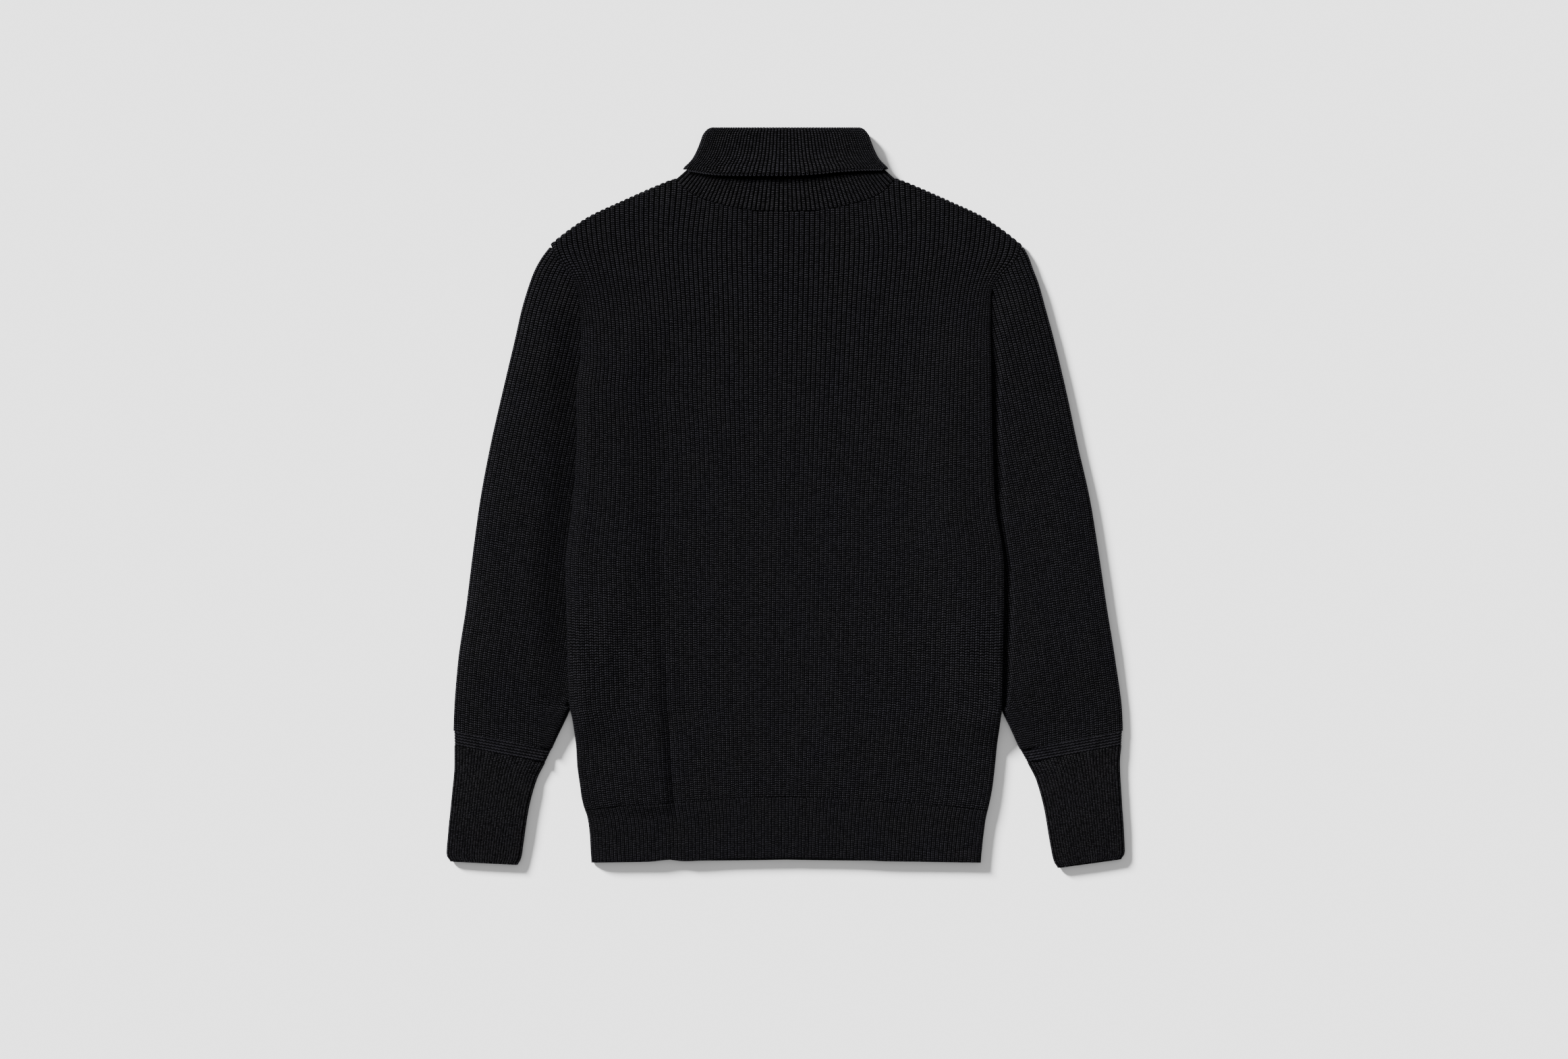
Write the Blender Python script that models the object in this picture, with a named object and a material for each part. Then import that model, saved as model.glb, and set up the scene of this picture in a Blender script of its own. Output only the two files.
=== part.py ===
"""A fine-knit ribbed turtleneck sweater, lying flat and face up.

X runs across the garment, Y up it towards the collar and Z out of the surface that it lies on. The
origin is the middle of its underside. Sizes are in millimetres and become metres where meshes are made.

Each piece of the garment is one knitted wall: front, back, two hem ribs, two sleeves, two bands of
purl ridges, two cuffs and a collar. A piece has ribs on the face that shows and is plain on its
inside and on the side that it lies on. The sleeves lie beside the body with their inner folds tucked
under it, so the body's sides ride up over them.
"""
import math
from collections import namedtuple

import bmesh
import bpy
import numpy as np

# Knit
WALL = 1.8  # thickness of the knit between its ribs
AIR = 0.6  # space between two layers that lie on each other
RIB = 1.0  # height of the ribs on the body and sleeves
FINE_RIB = 0.8  # height of the ribs on the hem, cuffs and collar, and of the purl ridges
GAP = 0.3  # between pieces at a seam
ARMHOLE_GAP = 0.36  # from the corners of the armhole seam to the sleeve, so that it keeps GAP between them
CLEAR = 0.7  # between a sleeve's ribs and the body side that lies on them
RIM_STEP = 0.8  # width of the two plain strips along an edge that isn't rolled

HALF_STACK = WALL + AIR / 2  # from the middle of two layers to their outer face
INNER = AIR / 2  # from the middle of two layers to their inner face
TOP = 2 * HALF_STACK
LIFT = TOP + RIB + CLEAR  # how far the body's sides ride up on the sleeves

# Ribs across each piece
FRONT_RIBS = 96
HEM_RIBS = 107
SLEEVE_RIBS = 20  # at full pitch, from the outer fold
SLEEVE_NARROW_RIBS = 8  # closing up towards the inner fold, where the sleeve is shaped
SLEEVE_PITCH = 4.57
SLEEVE_FULL_SHARE = 0.93  # the most of a narrow section that the full-pitch ribs take
LEAST_RIB = 0.2  # the narrow ribs' lowest height, as a share of RIB
CUFF_RIBS = 27
COLLAR_RIBS = 47
RIDGES = 4

# Body outline: distance of each side from the middle line, with the armhole from 130 up
Side = namedtuple("Side", "y left right")
BODY_SIDES = (
    Side(-388, 205.2, 206.0),
    Side(-359, 207.0, 208.8),
    Side(-338, 209.8, 211.8),
    Side(-327, 213.4, 214.3),
    Side(-305, 217.4, 218.6),
    Side(-262, 221.6, 223.2),
    Side(-231, 226.0, 227.2),
    Side(-222, 228.2, 228.6),
    Side(-140, 231.0, 230.5),
    Side(-73, 232.5, 231.2),
    Side(-45, 230.0, 228.2),
    Side(-16, 225.9, 223.0),
    Side(12, 223.2, 220.8),
    Side(69, 220.4, 218.9),
    Side(112, 220.8, 218.1),
    Side(130, 219.0, 217.9),
    Side(172, 216.8, 217.2),
    Side(213, 219.5, 217.4),
    Side(247, 237.0, 240.5),
    Side(266, 247.5, 249.5),
)
ARMPIT = 130
ARMHOLE_ROWS = (172, 213, 247)  # corners of the armhole seam between armpit and shoulder point
SHOULDER_POINT = 266

SHOULDER_FOLD = 1.1 * HALF_STACK  # from the shoulder line down to the flat part, as the line slopes

Edge = namedtuple("Edge", "x y")
SHOULDER = (Edge(116, 337.5), Edge(139, 328), Edge(175, 312), Edge(205, 298), Edge(228, 283), Edge(250, 265.5))
FRONT_NECK = (
    Edge(0, 302), Edge(30, 303), Edge(57, 307), Edge(80, 312.8), Edge(96, 319), Edge(107, 326.5), Edge(116, 337.5)
)
BACK_NECK = (
    Edge(0, 326), Edge(30, 326.2), Edge(57, 327), Edge(80, 328.5), Edge(96, 330.5), Edge(107, 333), Edge(116, 337.5)
)
HEM_SEAM = (Edge(0, -316.5), Edge(48, -318.3), Edge(97, -321.2), Edge(179, -327.3), Edge(203, -330), Edge(215, -332))
HEM_EDGE = (Edge(0, -381.4), Edge(60, -382.4), Edge(110, -384.8), Edge(206, -386))
BACK_HEM_EDGE = (Edge(0, -383.2), Edge(110, -384.4), Edge(206, -386))

# Sleeves: the outer fold, and the inner fold that is tucked under the body above -224
SLEEVE_OUTER = (
    Side(-374, 358.2, 358.9),
    Side(-302, 351.8, 353.9),
    Side(-274, 349.0, 353.2),
    Side(-259, 351.1, 356.1),
    Side(-231, 350.4, 355.4),
    Side(-174, 346.1, 348.2),
    Side(-116, 337.5, 338.9),
    Side(-59, 330.4, 330.4),
    Side(-2, 322.5, 321.1),
    Side(55, 311.8, 308.2),
    Side(112, 298.9, 296.1),
    Side(169, 285.4, 282.5),
    Side(198, 278.9, 274.6),
    Side(226, 270.4, 266.8),
    Side(241, 264.6, 261.1),
    Side(255, 256.5, 256.0),
    Side(266, 248.0, 250.0),
)
SLEEVE_INNER = (
    Side(-284, 256.5, 258.0),
    Side(-273.5, 251.0, 251.5),
    Side(-263, 246.4, 246.3),
    Side(-252, 241.3, 241.4),
    Side(-231, 231.2, 231.5),
    Side(-205, 221.0, 221.0),
    Side(-140, 205.0, 205.0),
    Side(-50, 189.0, 189.0),
    Side(40, 184.5, 184.5),
    Side(116, 186.0, 186.0),
    Side(266, 135.0, 137.0),
)
SECTION_TILT = math.radians(10.3)  # how far a sleeve's sections fall from the outer to the inner fold
SLEEVE_END = -246.4  # height of the outer fold where the ribs end
BAND = 16.0  # length of the purl ridges along the sleeve
UNDERARM = 116  # height at which the tucked fold starts
UNDERARM_TOP = 128  # height at which the line from it reaches the armhole seam
SLEEVE_NARROW_SHARE = 0.86  # the plain faces' last column before the inner fold
SLEEVE_ROWS = (0, 0.05, 0.132, 0.245, 0.361, 0.517, 0.692, 0.857, 1)

# Cuffs: the two ends of each section
Cuff = namedtuple("Cuff", "outer_y inner_y left_outer left_inner right_outer right_inner")
CUFFS = (
    Cuff(-262.5, -280.5, 350.4, 254.8, 355.0, 255.9),
    Cuff(-318.0, -330.0, 353.5, 272.2, 355.3, 273.6),
    Cuff(-355.0, -364.0, 357.2, 277.4, 357.8, 279.4),
    Cuff(-377.0, -384.0, 358.8, 280.2, 358.6, 284.0),
    Cuff(-382.4, -388.9, 355.5, 283.2, 355.5, 287.4),
)

# Collar: half its width where it is turned down, and its fold at the top
Width = namedtuple("Width", "y half")
COLLAR_WIDTH = (
    Width(338, 120.0),
    Width(345, 109.0),
    Width(349, 106.8),
    Width(354, 101.6),
    Width(358, 98.2),
    Width(366, 93.7),
    Width(379, 88.6),
    Width(384, 86.8),
    Width(388, 83.5),
    Width(391, 80.5),
)
TURN_DOWN_EDGE = (
    Edge(-109, 346.6), Edge(-82, 341.6), Edge(-42, 339.6), Edge(0, 339.6), Edge(55, 343.6), Edge(109, 347)
)
BACK_TURN_DOWN = 347  # lower edge of the turned-down part behind
STAND_TOP = 345  # where the stand is level inside the turned-down part
STAND_RIBS_TOP = 351  # where its ribs end on their way up
STAND_PLAIN = 361
TURN_DOWN_LEVEL = 366  # the turned-down part's last level row above its edge
COLLAR_TOP = 391
STAND_MIDDLE = 4.5  # height of the middle of the stand's two layers
COLLAR_MIDDLE = 4.9  # height of the middle of all four layers
COLLAR_OUTER = COLLAR_MIDDLE  # from that middle to the outer face of the turned-down part
COLLAR_INNER = COLLAR_OUTER - WALL
EDGE_LIFT = 3.0  # how far the front edge of the turned-down part stands off
EDGE_LIFT_ABOVE = 0.4  # the share of that on the row above the edge

# Plain faces have a few columns: in the middle at the corners of the neck seam, at the sides over the sleeves
NECK_STOPS = tuple(edge.x for edge in FRONT_NECK[:-1])
MIDDLE_SHARES = tuple(x / (BODY_SIDES[-1].right - 2 * RIM_STEP) for x in reversed(NECK_STOPS))
SIDE_INSETS = (30, 18, 6)
COARSE_SHARES = (1.0, 0.8, 0.55, 0.28, 0.0)

ROUNDS = 40  # of closing in on a point that depends on itself

YARN = (0.010, 0.010, 0.012, 1.0)
ROUGHNESS = 0.95


def column_at(table, name, at):
    """A table's named column, read between its rows by its first column."""
    key = table[0]._fields[0]
    return np.interp(at, [getattr(row, key) for row in table], [getattr(row, name) for row in table])


def by_side(table, sign, y):
    """The left or right column of a table of sides, for arrays of signs and heights."""
    return np.where(np.asarray(sign) < 0, column_at(table, "left", y), column_at(table, "right", y))


def side_roll(y):
    """1 where the sides are rolled from front to back, 0 where the sleeve is sewn on."""
    return np.interp(y, (ARMPIT, ARMHOLE_ROWS[0]), (1, 0))


def body_edge(sign, y):
    """Where the flat part of the body ends and its rolled side begins."""
    return by_side(BODY_SIDES, sign, y) - HALF_STACK * side_roll(y)


def tuck_line(sign, y):
    """The line under the body up to which a sleeve is tucked in."""
    return np.minimum(by_side(SLEEVE_INNER, sign, y), body_edge(sign, y))


def lift(x, y):
    """How far the body's side rides up on the sleeve below it."""
    sign = np.sign(x)
    along = np.interp(y, (-262, -228, ARMPIT, ARMHOLE_ROWS[0], ARMHOLE_ROWS[1]), (0, 1, 1, 0.5, 0))
    inset = tuck_line(sign, y) - np.abs(x)
    across = np.interp(-inset, (-SIDE_INSETS[0], -SIDE_INSETS[1], -SIDE_INSETS[2]), (0, 0.5, 1))
    return LIFT * along * across


def shoulder_roll(x):
    """1 along the shoulders, where front and back meet in a fold, 0 along the neck seam."""
    return np.interp(np.abs(x), (116, 122), (0, 1))


def top_edge(neck, x):
    """The height at which the flat part of the front or back ends, along its neck and shoulders."""
    away = np.abs(x)
    edge = np.where(away < SHOULDER[0].x, column_at(neck, "y", away), column_at(SHOULDER, "y", away))
    return edge - SHOULDER_FOLD * shoulder_roll(x) - GAP / 2 * (1 - shoulder_roll(x))


Columns = namedtuple("Columns", "sign share inset step crest")


def rib_columns(ribs):
    """Columns across a ribbed face: two for each rib, then the strips of the rolled sides."""
    across = np.linspace(-1, 1, 2 * ribs + 1)
    crest = np.arange(2 * ribs + 1) % 2
    sign = np.concatenate(((-1, -1), np.where(across < 0, -1, 1), (1, 1)))
    share = np.concatenate(((1, 1), np.abs(across), (1, 1)))
    step = np.concatenate(((2, 1), np.zeros(2 * ribs + 1), (1, 2)))
    return Columns(sign, share, np.full(len(sign), np.nan), step, np.concatenate(((0, 0), crest, (0, 0))))


def plain_columns(roll_steps):
    """A few columns across a plain face."""
    half = [(1, np.nan, step) for step in roll_steps] + [(1, np.nan, 0)]
    half += [(0, inset, 0) for inset in reversed(SIDE_INSETS)]
    half += [(share, np.nan, 0) for share in MIDDLE_SHARES]
    rows = [(-1,) + row for row in half] + [(1,) + row for row in reversed(half[:-1])]
    sign, share, inset, step = (np.array(values, float) for values in zip(*rows))
    return Columns(sign, share, inset, step, np.zeros(len(rows)))


def column_x(columns, y):
    """Distance of each column from the middle line at its height, before the rolled side's own width."""
    edge = body_edge(columns.sign, y)
    strip = RIM_STEP * (1 - side_roll(y))
    flat = columns.share * (edge - 2 * strip) + columns.step * strip
    inset = tuck_line(columns.sign, y) - columns.inset
    return columns.sign * np.where(np.isnan(columns.inset), flat, inset)


def panel_rows(columns, bottom, top, levels, side_levels, rolls):
    """Heights of every column's rows: the bottom edge, level rows, rows that lean to the top edge, and that edge.

    A leaning row is given by its height at the sides.
    """
    rows = []

    def settle(height):
        y = np.zeros(len(columns.sign))
        for _ in range(ROUNDS):
            y = (y + height(column_x(columns, y))) / 2
        return y

    rows.append((settle(bottom), None))
    rows += [(np.full(len(columns.sign), float(level)), None) for level in levels]
    end = settle(top)
    side_end = np.where(columns.sign < 0, end[0], end[-1])
    for level in side_levels:
        share = (level - levels[-1]) / (side_end - levels[-1])
        rows.append((levels[-1] + share * (end - levels[-1]), None))
    rows += [(end, step) for step in rolls]
    return rows


def panel_points(columns, rows, radius, rib, face, top):
    """Points of one face of a flat piece: radius is its distance from the middle of the two layers."""
    points = []
    for y, step in rows:
        x = column_x(columns, y)
        side_angle = columns.step * np.pi / 4 * side_roll(y)
        reach = radius + rib * columns.crest
        top_angle = np.zeros(len(x))
        strip = 0
        if step is not None:
            rolled = shoulder_roll(x)
            top_angle = step * np.pi / 4 * rolled
            strip = -(2 - step) * RIM_STEP * (1 - rolled)
        angle = np.maximum(side_angle, top_angle)
        z = HALF_STACK + lift(x, y) + face * np.maximum(reach * np.cos(angle), GAP / 2)
        slope = np.clip((top(x + 1) - top(x - 1)) / 2, -1, 1)
        out = strip + reach * np.sin(top_angle)
        length = np.sqrt(1 + slope**2)
        px = x + columns.sign * reach * np.sin(side_angle) - out * slope / length
        py = y + out / length
        points.append(np.stack((px, py, z), axis=1))
    return points


def add_points(bm, rows):
    return [[bm.verts.new(point / 1000) for point in row] for row in rows]


def add_grid(bm, rows, closed):
    """Quads between neighbouring rows of the same length."""
    count = len(rows[0])
    for low, high in zip(rows, rows[1:]):
        for i in range(count if closed else count - 1):
            j = (i + 1) % count
            bm.faces.new((low[i], low[j], high[j], high[i]))


def bridge(bm, first, second, first_at, second_at, closed):
    """Triangles between two chains of unlike length, each point going with its place along the chain."""
    a, b = list(first), list(second)
    at_a, at_b = list(first_at), list(second_at)
    if closed:
        a, b = a + a[:1], b + b[:1]
        at_a, at_b = at_a + [at_a[0] + 2], at_b + [at_b[0] + 2]
    i = j = 0
    while i < len(a) - 1 or j < len(b) - 1:
        if j == len(b) - 1 or (i < len(a) - 1 and at_a[i + 1] <= at_b[j + 1]):
            bm.faces.new((a[i], a[i + 1], b[j]))
            i += 1
        else:
            bm.faces.new((a[i], b[j + 1], b[j]))
            j += 1


def material(name):
    made = bpy.data.materials.new(name)
    made.use_nodes = True
    shader = made.node_tree.nodes["Principled BSDF"]
    shader.inputs["Base Color"].default_value = YARN
    shader.inputs["Roughness"].default_value = ROUGHNESS
    shader.inputs["Metallic"].default_value = 0.0
    return made


def finish(bm, name, collection):
    """One closed body with its faces pointing out."""
    bmesh.ops.recalc_face_normals(bm, faces=bm.faces)
    if bm.calc_volume(signed=True) < 0:
        bmesh.ops.reverse_faces(bm, faces=bm.faces)
    mesh = bpy.data.meshes.new(name)
    bm.to_mesh(mesh)
    bm.free()
    mesh.materials.append(material(name + "_yarn"))
    piece = bpy.data.objects.new(name, mesh)
    collection.objects.link(piece)
    return piece


def flat_piece(name, collection, face, outer_columns, rib, bottom, top, levels, side_levels, rolls):
    """A front, back or hem: an outer face, a plain inner face and the rims between them."""
    inner_columns = plain_columns((2,))
    outer_rows = panel_rows(outer_columns, bottom, top, levels, side_levels, rolls)
    inner_rows = panel_rows(inner_columns, bottom, top, levels, side_levels, rolls)
    outer = panel_points(outer_columns, outer_rows, HALF_STACK, rib, face, top)
    inner = panel_points(inner_columns, inner_rows, INNER, 0, face, top)
    bm = bmesh.new()
    outer_at = [row[:, 0] for row in outer]
    inner_at = [row[:, 0] for row in inner]
    outer = add_points(bm, outer)
    inner = add_points(bm, inner)
    add_grid(bm, outer, False)
    add_grid(bm, inner, False)
    for end in (0, -1):
        add_grid(bm, ([row[end] for row in outer], [row[end] for row in inner]), False)
        bridge(bm, outer[end], inner[end], outer_at[end], inner_at[end], False)
    return finish(bm, name, collection)


def body_pieces(collection):
    """Front and back, whose sides and shoulders roll into each other at half their height."""
    levels = [-262, -228, -140, -50, 40, ARMPIT]
    for name, face, neck, columns, rib in (
        ("front", 1, FRONT_NECK, rib_columns(FRONT_RIBS), RIB),
        ("back", -1, BACK_NECK, plain_columns((2, 1)), 0),
    ):
        flat_piece(
            name, collection, face, columns, rib,
            lambda x: column_at(HEM_SEAM, "y", np.abs(x)) + GAP / 2,
            lambda x, neck=neck: top_edge(neck, x),
            levels, ARMHOLE_ROWS, (0, 2),
        )


def hem_pieces(collection):
    """The two halves of the hem rib, open between them at the bottom edge."""
    for name, face, edge, columns, rib in (
        ("hem_front", 1, HEM_EDGE, rib_columns(HEM_RIBS), FINE_RIB),
        ("hem_back", -1, BACK_HEM_EDGE, plain_columns((2, 1)), 0),
    ):
        flat_piece(
            name, collection, face, columns, rib,
            lambda x, edge=edge: column_at(edge, "y", np.abs(x)),
            lambda x: column_at(HEM_SEAM, "y", np.abs(x)) - GAP / 2,
            (), (), (None,),
        )


Station = namedtuple("Station", "share angle crest at")


def tube_stations(crests, shares, plain_top):
    """Places round a flattened tube, from its outer fold over the top to its inner fold and back below."""
    top = shares if not plain_top else plain_top
    high = crests if not plain_top else [0] * len(top)
    below = plain_top or COARSE_SHARES
    quarter = math.pi / 4
    stations = [Station(0, 2 * quarter, 0, 0.0), Station(0, quarter, 0, 0.02)]
    stations += [Station(share, 0, crest, 0.05 + 0.9 * share) for share, crest in zip(top, high)]
    stations += [Station(1, step * quarter, 0, 0.95 + 0.03 * step) for step in (1, 2, 3)]
    stations += [Station(share, math.pi, 0, 1.95 - 0.9 * share) for share in sorted(below, reverse=True)]
    stations.append(Station(0, 3 * quarter, 0, 1.98))
    return stations


def tube_piece(name, collection, place, rows, inner_rows, outer_stations, inner_stations, rib):
    """A sleeve, band or cuff: place gives the plan point of a share at a row, moved out by a distance."""
    bm = bmesh.new()
    loops = []
    for stations, radius, rungs in (
        (outer_stations, HALF_STACK, rows), (inner_stations, INNER, inner_rows)
    ):
        points = []
        for row in rungs:
            ring = []
            for station in stations:
                showing = max(math.cos(station.angle), 0) ** 0.5 if station.angle < 2 else 0
                raised = rib(row, station) * showing if radius == HALF_STACK else 0
                reach = radius + raised
                out = reach * math.sin(station.angle)
                x, y = place(row, station.share, out)
                ring.append((x, y, HALF_STACK + reach * math.cos(station.angle)))
            points.append(np.array(ring))
        loops.append(add_points(bm, points))
    outer, inner = loops
    add_grid(bm, outer, True)
    add_grid(bm, inner, True)
    outer_at = [station.at for station in outer_stations]
    inner_at = [station.at for station in inner_stations]
    for end in (0, -1):
        bridge(bm, outer[end], inner[end], outer_at, inner_at, True)
    return finish(bm, name, collection)


ACROSS = (-math.cos(SECTION_TILT), -math.sin(SECTION_TILT))  # from a sleeve's outer to its inner fold


def sleeve_point(sign, outer_y, distance):
    x = float(by_side(SLEEVE_OUTER, sign, outer_y))
    return x + ACROSS[0] * distance, outer_y + ACROSS[1] * distance


def sleeve_width(sign, outer_y):
    """Width of the sleeve's section that starts at a height of the outer fold."""
    width = 120.0
    for _ in range(ROUNDS):
        x, y = sleeve_point(sign, outer_y, width)
        width += (x - float(by_side(SLEEVE_INNER, sign, y))) * 0.8
    return width


def sleeve_distance(sign, outer_y, share):
    """Distance of a share of the ribs from the outer fold: true pitch first, closing up at the inner fold."""
    ribs = SLEEVE_RIBS + SLEEVE_NARROW_RIBS
    wide = sleeve_width(sign, outer_y) - 2 * HALF_STACK
    full = min(SLEEVE_RIBS * SLEEVE_PITCH, wide * SLEEVE_FULL_SHARE)
    knee = SLEEVE_RIBS / ribs
    return HALF_STACK + float(np.interp(share, (0, knee, 1), (0, full, wide)))


def sleeve_start(sign, share):
    """The height of the outer fold from which a rib starts, at the armhole seam or under the arm."""
    low, high = SLEEVE_END, float(SHOULDER_POINT)
    for _ in range(ROUNDS):
        middle = (low + high) / 2
        x, y = sleeve_point(sign, middle, sleeve_distance(sign, middle, share))
        seam = float(by_side(BODY_SIDES, sign, max(y, ARMPIT))) + ARMHOLE_GAP
        tucked = float(by_side(SLEEVE_INNER, sign, UNDERARM)) + HALF_STACK
        edge = float(np.interp(y, (UNDERARM, UNDERARM_TOP), (tucked, seam)))
        if x > edge or y < UNDERARM:
            low = middle
        else:
            high = middle
    return middle


def sleeve_shares(sign):
    """Shares of the plain columns: the outer fold, the corners of the armhole seam, the inner fold."""
    ribs = SLEEVE_RIBS + SLEEVE_NARROW_RIBS
    shares = [0.0]
    for y in reversed((ARMPIT,) + ARMHOLE_ROWS):
        x = float(by_side(BODY_SIDES, sign, y)) + ARMHOLE_GAP
        distance = 50.0
        for _ in range(ROUNDS):
            across = sleeve_point(sign, y - ACROSS[1] * distance, distance)[0]
            distance += (across - x) * 0.8
        shares.append((distance - HALF_STACK) / (ribs * SLEEVE_PITCH))
    return shares + [SLEEVE_NARROW_SHARE, 1.0]


def sleeve_pieces(collection):
    """Sleeves from the armhole seam to the purl ridges, each one flattened tube."""
    ribs = SLEEVE_RIBS + SLEEVE_NARROW_RIBS
    shares = np.linspace(0, 1, 2 * ribs + 1)
    crests = np.arange(2 * ribs + 1) % 2
    for name, sign in (("sleeve_left", -1), ("sleeve_right", 1)):
        starts = {}

        def place(row, share, out, sign=sign, starts=starts):
            if share not in starts:
                starts[share] = sleeve_start(sign, share)
            outer_y = starts[share] + row * (SLEEVE_END - starts[share])
            distance = sleeve_distance(sign, outer_y, share) + (out if share > 0.5 else -out)
            x, y = sleeve_point(sign, outer_y, distance)
            return sign * x, y

        def rib(row, station, sign=sign):
            outer_y = SHOULDER_POINT + row * (SLEEVE_END - SHOULDER_POINT)
            if station.share > SLEEVE_RIBS / ribs and station.crest:
                wide = sleeve_width(sign, outer_y) - 2 * HALF_STACK - SLEEVE_RIBS * SLEEVE_PITCH
                return RIB * min(1.0, max(LEAST_RIB, wide / SLEEVE_NARROW_RIBS / SLEEVE_PITCH))
            return RIB * station.crest

        plain = sleeve_shares(sign)
        tube_piece(
            name, collection, place, SLEEVE_ROWS, SLEEVE_ROWS,
            tube_stations(crests, shares, None)[:-1 - len(COARSE_SHARES)]
            + tube_stations(None, None, plain)[-1 - len(plain):],
            tube_stations(None, None, plain), rib,
        )


def straight_place(sign, ends):
    """Plan points between the two ends of each section: ends gives (outer, inner) for a row."""

    def place(row, share, out):
        outer, inner = (np.array(end) for end in ends(row))
        along = inner - outer
        length = float(np.hypot(*along))
        direction = along / length
        distance = HALF_STACK + share * (length - 2 * HALF_STACK) + (out if share > 0.5 else -out)
        x, y = outer + direction * distance
        return sign * x, y

    return place


def band_pieces(collection):
    """Purl ridges round the sleeve's end, where it is gathered to the cuff."""
    rows = np.linspace(0, 1, 2 * RIDGES + 1)
    for name, sign, side in (("band_left", -1, "left"), ("band_right", 1, "right")):
        top_width = sleeve_width(sign, SLEEVE_END)
        top_outer = np.array(sleeve_point(sign, SLEEVE_END, 0))
        top_inner = np.array(sleeve_point(sign, SLEEVE_END, top_width))
        low_outer = np.array((getattr(CUFFS[0], side + "_outer"), CUFFS[0].outer_y))
        low_inner = np.array((getattr(CUFFS[0], side + "_inner"), CUFFS[0].inner_y))

        def ends(row, a=top_outer, b=top_inner, c=low_outer, d=low_inner):
            down = GAP / BAND + row * (1 - 2 * GAP / BAND)
            return a + (c - a) * down, b + (d - b) * down

        def ridge(row, station):
            return FINE_RIB * (round(row * 2 * RIDGES) % 2)

        stations = tube_stations(None, None, (0.0, 0.5, 1.0))
        tube_piece(name, collection, straight_place(sign, ends), rows, (0, 1), stations, stations, ridge)


def cuff_pieces(collection):
    """Cuffs, open at the hand."""
    shares = np.linspace(0, 1, 2 * CUFF_RIBS + 1)
    crests = np.arange(2 * CUFF_RIBS + 1) % 2
    for name, sign, side in (("cuff_left", -1, "left"), ("cuff_right", 1, "right")):

        def ends(row, side=side):
            cuff = CUFFS[row]
            return (
                (getattr(cuff, side + "_outer"), cuff.outer_y),
                (getattr(cuff, side + "_inner"), cuff.inner_y),
            )

        def rib(row, station):
            return FINE_RIB * station.crest

        tube_piece(
            name, collection, straight_place(sign, ends), range(len(CUFFS)), range(len(CUFFS)),
            tube_stations(crests, shares, None), tube_stations(None, None, sorted(COARSE_SHARES)), rib,
        )


CollarRow = namedtuple("CollarRow", "y share_up middle radius rib")


def collar_side(y):
    return float(column_at(COLLAR_WIDTH, "half", y)) - COLLAR_OUTER


def collar_ring(stations, row, low_front, low_back):
    """One ring of the collar. A row with no share lies at its own height all round."""
    ring = []
    for station in stations:
        front = math.cos(station.angle) >= 0
        across = -1 + 2 * station.share
        y = row.y
        half = collar_side(y)
        if row.share_up is not None:
            for _ in range(ROUNDS):
                low = (low_front if front else low_back)(across * half)
                if abs(math.sin(station.angle)) > 0.1:
                    low = max(low_front(across * half), low_back(across * half))
                y = low + row.share_up * (row.y - low)
                half = (half + collar_side(y)) / 2
        reach = row.radius + row.rib * station.crest
        x = across * half + math.copysign(reach * math.sin(station.angle), across)
        z = row.middle + reach * math.cos(station.angle)
        ring.append([x, y, z])
    return np.array(ring)


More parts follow.
